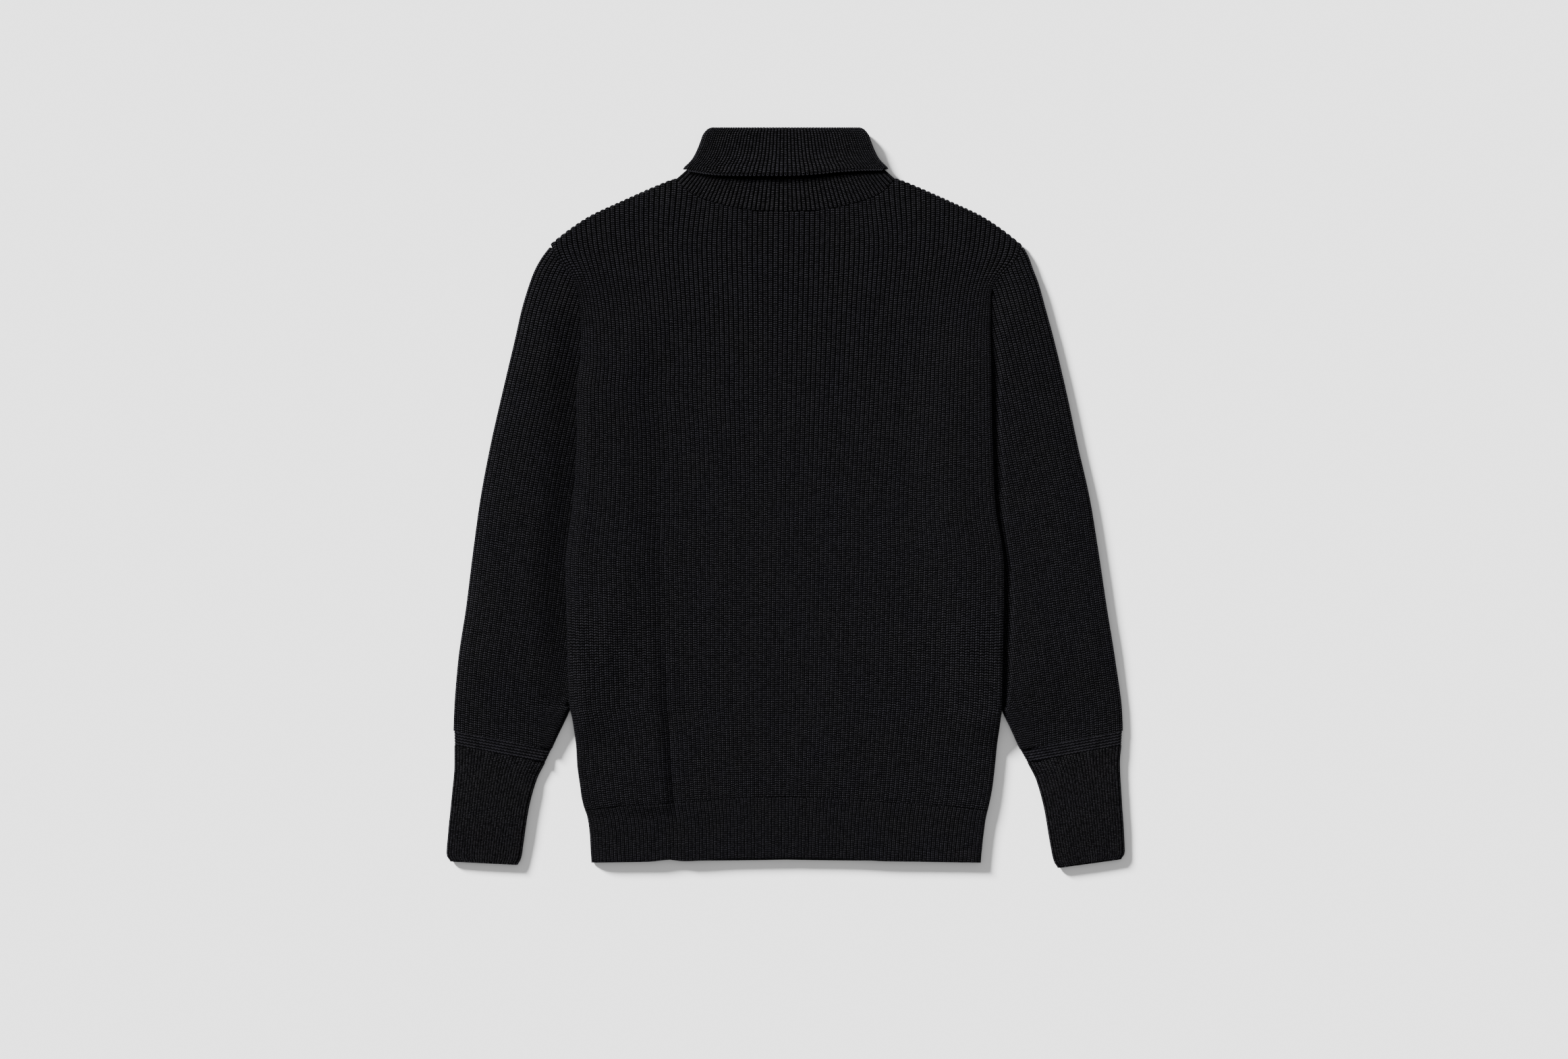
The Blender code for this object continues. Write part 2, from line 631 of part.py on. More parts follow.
def collar_piece(collection):
    """Stand and turned-down part in one wall: up inside, over the fold and down outside."""
    shares = np.linspace(0, 1, 2 * COLLAR_RIBS + 1)
    crests = np.arange(2 * COLLAR_RIBS + 1) % 2
    base = collar_side(0)
    stops = sorted({0.5 + side * x / base / 2 for x in NECK_STOPS[:-1] for side in (-1, 1)} | {0.0, 1.0})
    plain = tube_stations(None, None, stops)
    fine = tube_stations(crests, shares, None)[:-1 - len(COARSE_SHARES)] + plain[-1 - len(stops):]
    fold_middle = (HALF_STACK + COLLAR_INNER) / 2
    outer_bend = COLLAR_OUTER - fold_middle
    inner_bend = COLLAR_INNER - fold_middle
    fold_y = COLLAR_TOP - outer_bend

    def neck(table):
        def seam(x):
            slope = (column_at(table, "y", abs(x) + 1) - column_at(table, "y", abs(x) - 1)) / 2
            return float(column_at(table, "y", abs(x))) + GAP * math.hypot(1, slope)

        return seam

    def turned(x):
        return float(column_at(TURN_DOWN_EDGE, "y", x))

    def turned_behind(x):
        return BACK_TURN_DOWN

    def bend(turn, size, rib):
        middle = STAND_MIDDLE + (COLLAR_MIDDLE - STAND_MIDDLE) * turn / math.pi
        return CollarRow(
            fold_y + (size + rib / 2) * math.sin(turn), None, middle, fold_middle - size * math.cos(turn), rib
        )

    front_neck, back_neck = neck(FRONT_NECK), neck(BACK_NECK)
    stand_out = [
        collar_ring(fine, CollarRow(STAND_TOP, 0, HALF_STACK, HALF_STACK, FINE_RIB), front_neck, back_neck),
        collar_ring(fine, CollarRow(STAND_TOP, 1, STAND_MIDDLE, HALF_STACK, FINE_RIB), front_neck, back_neck),
        collar_ring(fine, CollarRow(STAND_RIBS_TOP, None, STAND_MIDDLE, HALF_STACK, FINE_RIB), None, None),
    ]
    inside = [CollarRow(STAND_PLAIN, None, STAND_MIDDLE, HALF_STACK, 0)]
    inside += [bend(turn, inner_bend, 0) for turn in (0, math.pi / 2, math.pi)]
    inside.append(CollarRow(TURN_DOWN_LEVEL, None, COLLAR_MIDDLE, COLLAR_INNER, 0))
    inside = [collar_ring(plain, row, None, None) for row in inside]
    inside += [
        collar_ring(plain, CollarRow(TURN_DOWN_LEVEL, share, COLLAR_MIDDLE, COLLAR_INNER, 0), turned, turned_behind)
        for share in (0.5, 0)
    ]
    lining = [
        collar_ring(plain, CollarRow(STAND_TOP, 0, HALF_STACK, INNER, 0), front_neck, back_neck),
        collar_ring(plain, CollarRow(STAND_TOP, 1, STAND_MIDDLE, INNER, 0), front_neck, back_neck),
        collar_ring(plain, bend(0, outer_bend, 0), None, None),
    ]
    outside = [bend(turn, outer_bend, FINE_RIB) for turn in (math.pi / 3, 2 * math.pi / 3, math.pi)]
    outside.append(CollarRow(TURN_DOWN_LEVEL, None, COLLAR_MIDDLE, COLLAR_OUTER, FINE_RIB))
    outside = [collar_ring(fine, row, None, None) for row in outside]
    outside += [
        collar_ring(fine, CollarRow(TURN_DOWN_LEVEL, share, COLLAR_MIDDLE, COLLAR_OUTER, FINE_RIB), turned, turned_behind)
        for share in (0.5, 0)
    ]
    for rings, stations in ((inside, plain), (outside, fine)):
        for ring, amount in ((rings[-2], EDGE_LIFT_ABOVE), (rings[-1], 1.0)):
            for point, station in zip(ring, stations):
                if math.cos(station.angle) > 0.1:
                    centre = 1 - (point[0] / column_at(COLLAR_WIDTH, "half", STAND_TOP)) ** 2
                    point[2] += EDGE_LIFT * amount * max(centre, 0)
    bm = bmesh.new()
    stand_out, inside, lining, outside = (add_points(bm, rings) for rings in (stand_out, inside, lining, outside))
    for rings in (stand_out, inside, lining, outside):
        add_grid(bm, rings, True)
    fine_at = [station.at for station in fine]
    plain_at = [station.at for station in plain]
    bridge(bm, stand_out[-1], inside[0], fine_at, plain_at, True)
    bridge(bm, lining[-1], outside[0], plain_at, fine_at, True)
    bridge(bm, stand_out[0], lining[0], fine_at, plain_at, True)
    bridge(bm, outside[-1], inside[-1], fine_at, plain_at, True)
    return finish(bm, "collar", collection)


def main():
    for old in list(bpy.data.objects):
        bpy.data.objects.remove(old, do_unlink=True)
    collection = bpy.data.collections.new("turtleneck_sweater")
    bpy.context.scene.collection.children.link(collection)
    body_pieces(collection)
    hem_pieces(collection)
    sleeve_pieces(collection)
    band_pieces(collection)
    cuff_pieces(collection)
    collar_piece(collection)


main()
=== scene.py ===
import bmesh
import bpy
import numpy as np
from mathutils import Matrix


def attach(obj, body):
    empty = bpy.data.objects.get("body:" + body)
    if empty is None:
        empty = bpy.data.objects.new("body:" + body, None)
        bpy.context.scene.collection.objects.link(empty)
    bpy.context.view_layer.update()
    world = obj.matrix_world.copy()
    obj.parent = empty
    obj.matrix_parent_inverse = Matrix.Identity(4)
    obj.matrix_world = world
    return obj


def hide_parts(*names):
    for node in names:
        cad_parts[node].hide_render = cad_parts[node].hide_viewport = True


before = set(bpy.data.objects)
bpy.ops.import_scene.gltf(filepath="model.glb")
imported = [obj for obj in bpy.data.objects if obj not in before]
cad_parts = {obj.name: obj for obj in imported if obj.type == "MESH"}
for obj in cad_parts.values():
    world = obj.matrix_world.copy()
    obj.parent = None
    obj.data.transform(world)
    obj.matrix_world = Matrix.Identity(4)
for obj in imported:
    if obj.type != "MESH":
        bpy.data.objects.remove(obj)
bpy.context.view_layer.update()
print("frame loaded")

pieces = {}
knit = {
    "wall": 1.8,  # thickness between the ribs
    "air": 0.6,  # between two layers that lie on each other
    "airRise": 2.4,  # how much further the upper layer stands off the lower one away from a fold
    "ribPower": 2.6,  # how square a rib is across
    "ribShare": 0.55,  # how much of a rib's height is left where it lies flat
    "foldRib": 0.3,  # and where it goes round a fold
    "foldWales": 1.5,  # wales that go round a flattened tube's fold
    "gap": 0.3,  # between pieces at a seam
    "edgeRound": 1.5,  # how far back from a free edge the face starts to bend down
    "seamRound": 0.5,  # the same beside a seam, where it bends only a little
    "seamShare": 0.22,
    "armholeShare": 0.45,
    "armholeRound": 0.8,
    "edgeFall": 0.85,  # how much of the wall's thickness the outer face bends down at a free edge
    "clear": 0.7,  # from the sleeve's ribs to the body side above them
    "sleeveInset": 0.3,  # the outline runs over the ribs, so the wall's fold lies this far inside it
    "cuffInset": 0.6,
    "seamPaintedShade": 0.85,  # painted shade: how much darker the yarn is painted down in a seam
    "neckPaintedShade": 0.25,  # the same painted shade at the neck's seam
    "neckFrom": 280,
    "edgePaintedShade": 0.3,  # painted shade: how much darker the cloth is painted beside the shoulders' fold, how far down, and on the fold
    "edgePaintedShadeWidth": 5,
    "foldPaintedShade": 0.75,
    "foldPower": 1.5,  # how steeply a soft fold falls off
    "turns": 40,  # how often a place is worked out again until it has settled
}
sides = (("Left", -1), ("Right", 1))
halfStack = knit["wall"] + knit["air"] / 2
innerFace = knit["air"] / 2

bodySides = {
    "edgeY": (-388, -374, -359, -345, -338, -327, -316, -305, -284, -262, -241, -231, -222, -140, -102, -73, -45, -16,
              12, 41, 69, 98, 112, 126, 141, 155, 184, 212, 222, 230, 238, 246, 254, 266),
    "edgeLeft": (205.2, 206.3, 207, 208.5, 209.8, 213.4, 216, 217.4, 220.3, 221.6, 224.3, 226, 228.2, 231, 231.8, 232.5,
                 230, 225.9, 223.2, 221.4, 220.4, 220.9, 220.8, 219.4, 217.4, 216.4, 217, 219.2, 221.6, 224.8, 229.8,
                 236.6, 242.6, 248),
    "edgeRight": (206, 207.2, 208.8, 210.6, 211.8, 214.3, 216.7, 218.6, 221, 223.2, 226, 227.2, 228.6, 230.5, 231.3,
                  231.2, 228.2, 223, 220.8, 219.8, 218.9, 218.3, 218.1, 217.9, 217.6, 217.4, 217, 217.2, 219, 224.2,
                  231.6, 239.6, 245.4, 249.5),
}
bodyLines = {
    "shoulder": ((116, 139, 175, 205, 228, 250), (337.5, 328, 312, 298, 283, 265.5)),
    "frontNeck": ((0, 30, 57, 80, 96, 107, 116), (302, 303, 307, 312.8, 319, 326.5, 337.5)),
    "backNeck": ((0, 30, 57, 80, 96, 107, 116), (326, 326.2, 327, 328.5, 330.5, 333, 337.5)),
    "hemSeam": ((0, 48, 97, 179, 203, 215), (-316.5, -318.3, -321.2, -327.3, -330, -332)),
    "hemFront": ((0, 60, 110, 150, 206), (-381.4, -382.4, -384.8, -385.2, -386)),
    "hemBack": ((0, 60, 110, 150, 206), (-383.2, -384, -384.4, -385.6, -386.4)),
}
sleeveSides = {
    "outerY": (-374, -302, -274, -259, -231, -174, -116, -59, -2, 55, 112, 169, 198, 226, 241, 255, 266),
    "outerLeft": (358.2, 351.8, 349, 351.1, 350.4, 346.1, 337.5, 330.4, 322.5, 311.8, 298.9, 285.4, 278.9, 270.4,
                  264.6, 256.5, 248),
    "outerRight": (358.9, 353.9, 353.2, 356.1, 355.4, 348.2, 338.9, 330.4, 321.1, 308.2, 296.1, 282.5, 274.6, 266.8,
                   261.1, 256, 250),
    "innerY": (-284, -273.5, -263, -252, -241.4, -231, -205, -140, -50, 40, 116, 266),
    "innerLeft": (256.5, 251, 246.4, 241.3, 236.1, 231.2, 221, 205, 189, 184.5, 186, 135),
    "innerRight": (258, 251.5, 246.3, 241.4, 236.6, 231.5, 221, 205, 189, 184.5, 186, 137),
}


# Reads a table between its rows with a cubic whose slopes never overshoot: the harmonic mean of the two sides' slopes
def curveAt(xs, ys, at):
    xs, ys = np.asarray(xs, float), np.asarray(ys, float)
    at = np.clip(np.asarray(at, float), xs[0], xs[-1])
    steps = np.diff(xs)
    slopes = np.diff(ys) / steps
    before, after = slopes[:-1], slopes[1:]
    same = before * after > 0
    middle = np.where(same, 2 * before * after / np.where(same, before + after, 1), 0)
    tangents = np.concatenate((slopes[:1], middle, slopes[-1:]))
    i = np.clip(np.searchsorted(xs, at, side="right") - 1, 0, len(xs) - 2)
    t = (at - xs[i]) / steps[i]
    return (
        ys[i] * (1 + 2 * t) * (1 - t) ** 2
        + ys[i + 1] * t**2 * (3 - 2 * t)
        + steps[i] * t * (1 - t) * (tangents[i] * (1 - t) - tangents[i + 1] * t)
    )


# 0 up to low, 1 from high on, and in between three times the square of the way less twice its cube
def smoothStep(low, high, at):
    t = np.clip((at - low) / (high - low), 0, 1)
    return t * t * (3 - 2 * t)


def stacked(*parts):
    return np.stack(np.broadcast_arrays(*parts), axis=-1)


# Reads one line of a table that has its own values on the left and on the right
def sideCurve(table, line, sign, at):
    heights = table[line + "Y"]
    return np.where(sign < 0, curveAt(heights, table[line + "Left"], at), curveAt(heights, table[line + "Right"], at))


# Half the body's width at a height
def sideAt(sign, y):
    return sideCurve(bodySides, "edge", sign, y)


# The height of one of the body's seams or ends at a distance from the middle
def lineAt(name, x):
    return curveAt(*bodyLines[name], np.abs(x))


# Shell: points and faces are gathered here piece by piece, then put into one mesh
def newShell():
    return {"points": [], "faces": [], "uvs": [], "paintedShades": [], "count": 0}


# A grid of rows and columns becomes quads. The uv grid has one more column where the grid closes round a tube. depth
# is the painted shade at each point, from 0 to 1: in seams, at the shoulders' fold, on the left sleeve and below the
# collar
def addGrid(shell, points, uv, closed=False, depth=0):
    rows, columns = points.shape[:2]
    index = shell["count"] + np.arange(rows * columns).reshape(rows, columns)
    shell["points"].append(points.reshape(-1, 3))
    shell["paintedShades"].append(np.broadcast_to(depth, (rows, columns)).ravel())
    shell["count"] += rows * columns
    ring = np.concatenate((index, index[:, :1]), axis=1) if closed else index
    corners = ((0, 0), (0, 1), (1, 1), (1, 0))
    cells = [ring[r : ring.shape[0] - 1 + r, c : ring.shape[1] - 1 + c] for r, c in corners]
    cellUvs = [uv[r : uv.shape[0] - 1 + r, c : uv.shape[1] - 1 + c] for r, c in corners]
    shell["faces"].append(stacked(*cells).reshape(-1, 4))
    shell["uvs"].append(np.stack(cellUvs, axis=-2).reshape(-1, 2))
    return ring


# Triangles between a fine edge and a coarse one that has only the fine edge's picked places
def addBridge(shell, fine, fineUv, coarse, picked):
    switch = (picked[:-1] + picked[1:] + 1) // 2
    i = np.arange(len(fine) - 1)
    fan = stacked(fine[i], fine[i + 1], coarse[np.searchsorted(switch, i, side="right")])
    fanUv = np.stack((fineUv[i], fineUv[i + 1], fineUv[i]), axis=-2)
    back = stacked(coarse[:-1], fine[switch], coarse[1:])
    backUv = np.stack((fineUv[picked[:-1]], fineUv[switch], fineUv[picked[1:]]), axis=-2)
    shell["faces"] += [fan, back]
    shell["uvs"] += [fanUv.reshape(-1, 2), backUv.reshape(-1, 2)]


# So many places spread evenly over a count of them, with the first and the last
def pickPlaces(count, wanted):
    return np.unique(np.round(np.linspace(0, count - 1, wanted)).astype(int))


# An outer face on a fine grid, a plain inner face on a coarse one, and the rims between them
def flatShell(outer, uv, inner, wantedRows, wantedColumns, depth):
    shell = newShell()
    pickR, pickC = pickPlaces(len(outer), wantedRows), pickPlaces(outer.shape[1], wantedColumns)
    fine = addGrid(shell, outer, uv, depth=depth)
    coarse = addGrid(shell, inner[np.ix_(pickR, pickC)], uv[np.ix_(pickR, pickC)])
    for end in (0, -1):
        addBridge(shell, fine[end], uv[end], coarse[end], pickC)
        addBridge(shell, fine[:, end], uv[:, end], coarse[:, end], pickR)
    return shell


# The same for a tube: rings of points, open at both ends
def tubeShell(outer, uv, inner, wantedRows, wantedColumns, depth):
    shell = newShell()
    pickR, pickC = pickPlaces(len(outer), wantedRows), pickPlaces(outer.shape[1] + 1, wantedColumns)
    fine = addGrid(shell, outer, uv, closed=True, depth=depth)
    coarse = addGrid(shell, inner[np.ix_(pickR, pickC[:-1])], uv[np.ix_(pickR, pickC)], closed=True)
    for end in (0, -1):
        addBridge(shell, fine[end], uv[end], coarse[end], pickC)
    return shell


def addObject(name, data):
    made = bpy.data.objects.new(name, data)
    bpy.context.scene.collection.objects.link(made)
    return made


# One mesh from a shell, on the body and in the place of its solid
def makePiece(name, shell, material, node, replaces=True):
    mesh = bpy.data.meshes.new(name)
    faces = [face for part in shell["faces"] for face in part.tolist()]
    mesh.from_pydata((np.concatenate(shell["points"]) / 1000).tolist(), [], faces)
    layer = mesh.uv_layers.new(name="stitches")
    layer.data.foreach_set("uv", np.concatenate(shell["uvs"]).astype(np.float32).ravel())
    # the painted shade of each point, as an attribute the material reads
    paintedShadeLayer = mesh.attributes.new("paintedShade", "FLOAT", "POINT")
    paintedShadeLayer.data.foreach_set("value", np.concatenate(shell["paintedShades"]).astype(np.float32))
    work = bmesh.new()
    work.from_mesh(mesh)
    bmesh.ops.recalc_face_normals(work, faces=work.faces)
    work.to_mesh(mesh)
    work.free()
    mesh.shade_smooth()
    mesh.materials.append(material)
    piece = addObject(name, mesh)
    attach(piece, "root")
    if replaces:
        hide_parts(node)
    pieces[name] = piece
    print("made", name, len(mesh.polygons), "faces")


# Height of a rib across one wale: a rounded cord with a narrow groove on each side, from 0 to 1
def ribProfile(wale):
    away = np.abs(wale - np.floor(wale) - 0.5) * 2
    return 1 - away ** knit["ribPower"]


# sRGB to linear: the low values over 12.92, the others to the power 2.4
def hexColour(text):
    parts = np.array([int(text[i : i + 2], 16) / 255 for i in (0, 2, 4)])
    linear = np.where(parts <= 0.04045, parts / 12.92, ((parts + 0.055) / 1.055) ** 2.4)
    return (*(float(part) for part in linear), 1.0)


def addNode(tree, kind, inputs=None, **settings):
    node = tree.nodes.new("ShaderNode" + kind)
    for name, value in settings.items():
        setattr(node, name, value)
    for key, value in (inputs or {}).items():
        if isinstance(value, bpy.types.NodeSocket):
            tree.links.new(value, node.inputs[key])
        else:
            node.inputs[key].default_value = value
    return node


def addRange(tree, value, low, high, start=0.0, finish=1.0, way="SMOOTHSTEP"):
    inputs = {"Value": value, "From Min": low, "From Max": high, "To Min": start, "To Max": finish}
    return addNode(tree, "MapRange", inputs, interpolation_type=way).outputs[0]


# Carries out a list of sums, each (name, operation, values), where a value may be the name of an earlier result
def addSums(tree, known, sums):
    for name, operation, *values in sums:
        inputs = {i: known.get(value, value) if isinstance(value, str) else value for i, value in enumerate(values)}
        known[name] = addNode(tree, "Math", inputs, operation=operation).outputs[0]
    return known


# Worsted wool: matt, near black, with a faint cool bloom where fibres stand off the yarn. Each wale is a chain of
# arched stitches. across is 0 on the wale's crest and 1 in the groove beside it, the arch drops away from the crest,
# and the course's cosine makes one leg of yarn with a gap below it. A noise along each wale draws its courses up
# or down a little. Towards the shoulders the wales are pulled apart: the groove widens and the crest fills. The same
# height raises the yarn and colours it: its pattern, with painted shade near black in the grooves and gaps. The yarn
# is a little darker towards the bottom, and the point attribute of painted shade darkens it in seams, at the
# shoulders' fold, on the left sleeve beside the body and under the collar's edge.
def woolMaterial(name, look):
    material = bpy.data.materials.new(name)
    material.use_nodes = True
    tree = material.node_tree
    tree.nodes.clear()
    place = addNode(tree, "SeparateXYZ", {0: addNode(tree, "UVMap", uv_map="stitches").outputs[0]})
    position = addNode(tree, "TexCoord").outputs["Object"]
    # seam here is the point attribute of painted shade: seams, the shoulders' fold, the left sleeve beside the body and
    # the stand below the collar's edge
    seam = addNode(tree, "Attribute", attribute_name="paintedShade").outputs["Fac"]
    known = {"u": place.outputs[0], "v": place.outputs[1], "seam": seam}
    height = addNode(tree, "SeparateXYZ", {0: position}).outputs[1]
    known["open"] = addRange(tree, height, look["openFrom"], look["openTo"], way="LINEAR")
    addSums(tree, known, (
        ("number", "FLOOR", "u"),
        ("spot", "MULTIPLY", "number", look["drawnAcross"]),
        ("spotUp", "MULTIPLY", "v", look["drawnUp"]),
    ))
    spot = addNode(tree, "CombineXYZ", {0: known["spot"], 1: known["spotUp"]}).outputs[0]
    known["drawn"] = addNode(tree, "TexNoise", {"Vector": spot, "Scale": 1.0, "Detail": 1.0},
                             noise_dimensions="2D").outputs[0]
    addSums(tree, known, (
        ("inWale", "FRACT", "u"),
        ("beside", "SUBTRACT", "inWale", 0.5),
        ("half", "ABSOLUTE", "beside"),
        ("across", "MULTIPLY", "half", 2.0),
        ("apart", "MULTIPLY_ADD", "open", look["opening"], "across"),
        ("wandered", "MULTIPLY_ADD", "drawn", look["wander"], "v"),
        ("bend", "POWER", "across", look["archPower"]),
        ("slanted", "MULTIPLY_ADD", "bend", look["archDrop"], "wandered"),
        ("inCourse", "FRACT", "slanted"),
        ("turn", "MULTIPLY", "inCourse", 2 * np.pi),
        ("wave", "COSINE", "turn"),
        ("rise", "MULTIPLY_ADD", "wave", -0.5, 0.5),
        ("leg", "POWER", "rise", look["legPower"]),
        ("doubled", "MULTIPLY", "u", 2.0),
        ("wale", "FLOOR", "doubled"),
        ("course", "FLOOR", "slanted"),
    ))
    known["groove"] = addRange(tree, known["apart"], look["grooveFrom"], look["grooveTo"], 1.0, look["grooveFloor"])
    addSums(tree, known, (("crest", "MULTIPLY_ADD", "open", look["crestOpen"], look["middleFloor"]),))
    known["middle"] = addRange(tree, known["across"], 0.0, look["middleTo"], known["crest"])
    stitch = addNode(tree, "CombineXYZ", {0: known["wale"], 1: known["course"]})
    known["chance"] = addNode(tree, "TexWhiteNoise", {"Vector": stitch.outputs[0]}, noise_dimensions="2D").outputs[0]
    addSums(tree, known, (
        ("legs", "MULTIPLY_ADD", "leg", 1 - look["legFloor"], look["legFloor"]),
        ("ridge", "MULTIPLY", "groove", "middle"),
        ("height", "MULTIPLY", "legs", "ridge"),
        ("varied", "MULTIPLY_ADD", "chance", look["chance"], 1 - look["chance"] / 2),
        ("free", "SUBTRACT", 1.0, "seam"),
        ("even", "MULTIPLY_ADD", "open", 1 - look["lowTone"], look["lowTone"]),
        ("evened", "MULTIPLY", "varied", "even"),
        ("left", "MULTIPLY", "evened", "free"),
        ("tone", "MULTIPLY", "height", "left"),
        ("lit", "POWER", "tone", look["tonePower"]),
    ))
    drift = addNode(tree, "TexNoise", {"Vector": position, "Scale": look["driftScale"], "Detail": 2.0}).outputs[0]
    fibre = addNode(tree, "TexNoise", {"Vector": position, "Scale": look["fibreScale"], "Detail": 2.0}).outputs[0]
    yarn = addNode(tree, "Mix", {"Factor": drift, "A": hexColour(look["yarn"]), "B": hexColour(look["yarnCool"])},
                   data_type="RGBA")
    addSums(tree, known, (
        ("fibreTone", "MULTIPLY_ADD", fibre, look["fibreRange"], look["fibreFrom"]),
        ("shade", "MULTIPLY", "lit", "fibreTone"),
    ))
    # painted shade: down in the grooves and gaps the colour goes to the painted gap shade
    colour = addNode(tree, "Mix", {"Factor": known["shade"], "A": hexColour(look["paintedGapShade"])}, data_type="RGBA")
    tree.links.new(yarn.outputs["Result"], colour.inputs["B"])
    bump = addNode(tree, "Bump", {"Height": known["height"], "Distance": look["stitchDepth"] / 1000, "Strength": 1.0})
    shader = addNode(tree, "BsdfPrincipled", {
        "Base Color": colour.outputs["Result"], "Normal": bump.outputs[0], "Roughness": look["roughness"],
        "Specular IOR Level": look["specular"], "Sheen Weight": look["sheen"],
        "Sheen Roughness": look["sheenRoughness"], "Sheen Tint": hexColour(look["sheenTint"]),
    })
    output = addNode(tree, "OutputMaterial")
    tree.links.new(shader.outputs[0], output.inputs[0])
    return material


# Noise scales are per metre: the colour drifts over 36 mm, and fibres stand in clumps of half a millimetre. The
# floors are how much of the yarn's colour is left in the painted shade of the grooves, the legs' gaps and the crests
ribLook = {
    "archPower": 1.3, "archDrop": 0.36, "legPower": 1.2, "legFloor": 0.0, "grooveFrom": 0.64, "grooveTo": 1.04,
    "grooveFloor": 0.0, "middleTo": 0.36, "middleFloor": 0.22, "chance": 0.6, "tonePower": 1.2, "stitchDepth": 0.3,
    "openFrom": -0.05, "openTo": 0.25, "opening": 0.12, "crestOpen": 0.25, "wander": 1.1, "drawnAcross": 0.73,
    "drawnUp": 0.16, "lowTone": 0.93, "driftScale": 28.0, "fibreScale": 1800.0, "fibreFrom": 0.75, "fibreRange": 0.5,
    "yarn": "363537", "yarnCool": "34333a", "paintedGapShade": "010101", "roughness": 0.85, "specular": 0.02,
    "sheen": 0.03, "sheenRoughness": 0.45, "sheenTint": "c9c9dc",
}
# Hem: a tighter rib of finer stitches, whose two legs show as two lines. The cuffs' rib is the same but coarser
fineLook = ribLook | {
    "archPower": 1.5, "archDrop": 0.3, "legFloor": 0.3, "grooveFrom": 0.56, "grooveTo": 0.96, "middleFloor": 0.25,
    "chance": 0.55, "tonePower": 1.3, "yarn": "2f2e2f", "yarnCool": "2d2c33", "stitchDepth": 0.2, "wander": 1.6,
}
collarLook = ribLook | {
    "archPower": 1.5, "archDrop": 0.2, "legPower": 1.3, "grooveFrom": 0.43, "grooveTo": 0.8, "opening": 0.0,
    "crestOpen": 0.0, "middleTo": 0.3, "middleFloor": 0.55, "chance": 0.8, "yarn": "3d3c3d", "yarnCool": "3b3a41",
    "stitchDepth": 0.25,
}
# The loops at the collar's edge are plain yarn
loopLook = collarLook | {
    "legFloor": 1.0, "wander": 0.0, "chance": 0.4, "grooveFrom": 1.0, "grooveTo": 1.1, "yarn": "343335",
    "yarnCool": "323138",
}
cuffLook = fineLook | {
    "grooveFrom": 0.5, "grooveTo": 0.9, "legFloor": 0.15, "chance": 0.9, "yarn": "393839", "yarnCool": "37363c",
}
# Purl ridges: the heads of the stitches lie across the ridge in a wavy line
purlLook = ribLook | {
    "archDrop": 0.3, "archPower": 1.2, "legFloor": 0.12, "grooveFrom": 0.4, "grooveTo": 1.0, "grooveFloor": 0.6,
    "opening": 0.0, "middleTo": 0.3, "middleFloor": 0.9, "wander": 0.0, "yarn": "2d2c2e", "yarnCool": "2b2a31",
}

wools = {name: woolMaterial("worstedWool" + name, look) for name, look in (
    ("Rib", ribLook), ("FineRib", fineLook), ("CollarRib", collarLook), ("Purl", purlLook), ("Loop", loopLook),
    ("CuffRib", cuffLook),
)}
print("yarns made")

# Body: wales run up from the hem seam. They lie closer or wider towards the sides (spread), and near the
# armholes only the outer ones follow the edge out to the shoulder point
body = {
    "wales": 96, "perWale": 6, "rollColumns": 6, "rows": 140, "endRows": 5, "rowsInside": 26, "columnsInside": 50,
    "ribHeight": 1.3, "course": 2.2, "armpit": 130,
    "rollWales": 1.4,  # wales that go round the side's fold
    "rollRows": (165, 226),  # the side is a full fold up to here, and fades into the armhole seam
    "innerY": (108, 140, 172, 205, 240, 270, 300, 338),
    "innerLeft": (218.7, 215.3, 214.9, 217, 221.3, 224.8, 227.2, 229),
    "innerRight": (216, 215.5, 215.8, 217.8, 222, 225.2, 227.4, 229),
    "innerRows": (108, 150),
    "outerPower": 10,  # how far out a wale lies before it follows the armhole
    "crowd": (5.0, 3.0),  # how much closer the left and the right side's last wales lie, where they turn down
    "crowdWidth": (10.0, 7.0),
    "edgePower": 4,
    "easedWay": ((140, 172, 200, 225, 247, 266, 290, 338), (0, 0.7, 2.7, 6.2, 10.6, 15, 18.2, 20)),
    "spread": ((-320, -259, -174, -110, -50, 0, 60, 120, 180, 260, 338),
               (-0.095, -0.085, -0.075, -0.068, -0.045, -0.005, 0.05, 0.1, 0.14, 0.155, 0.12)),
    "neckPull": 6.0,  # how far the wales beside the neck are drawn in at its seam, where, and how wide
    "neckPullAt": (100, 30),
    "neckPullRows": (258, 335),
    "neckHalf": 116,
    "shoulderFrom": (114, 123),  # from here out the top is a fold
    "shoulderInset": 1.1,
    "topWidth": 4,  # how gradually the air closes towards the shoulders' fold
    "topFrom": (90, 113),
    "shoulderBend": (5.4, 18),  # the courses bend down by this much, from this far inside the armhole seam
    "bendRows": (205, 240),
    "lean": 0.012,  # the middle wales lean to the right by this much as they go up
    "sag": ((-330, -259, -188, -116, -45, 26, 98, 219), (-15.5, -15.6, -6.5, 8.5, 13, 14.3, 16.3, 18.9)),
    "sagHalf": 220,
    "over": 1.0,  # the height of the sleeves' ribs that the body lies on
    "liftAlong": ((-262, -228, 130, 172, 213), (0, 1, 1, 0.5, 0)),
    "ramp": (-62, -6),  # the body starts to rise inside the tucked sleeve's edge, and has risen before it
    "foldWidth": (4.5, 1.8),  # how gradually the air closes towards the left and the right fold
    "droop": (3.2, -0.8),  # how far the left and the right side hang down beside the fold
    "droopWidth": 15,
}
backBody = body | {"perWale": 4, "ribHeight": 0.8}
lift = 2 * halfStack + body["over"] + knit["clear"]


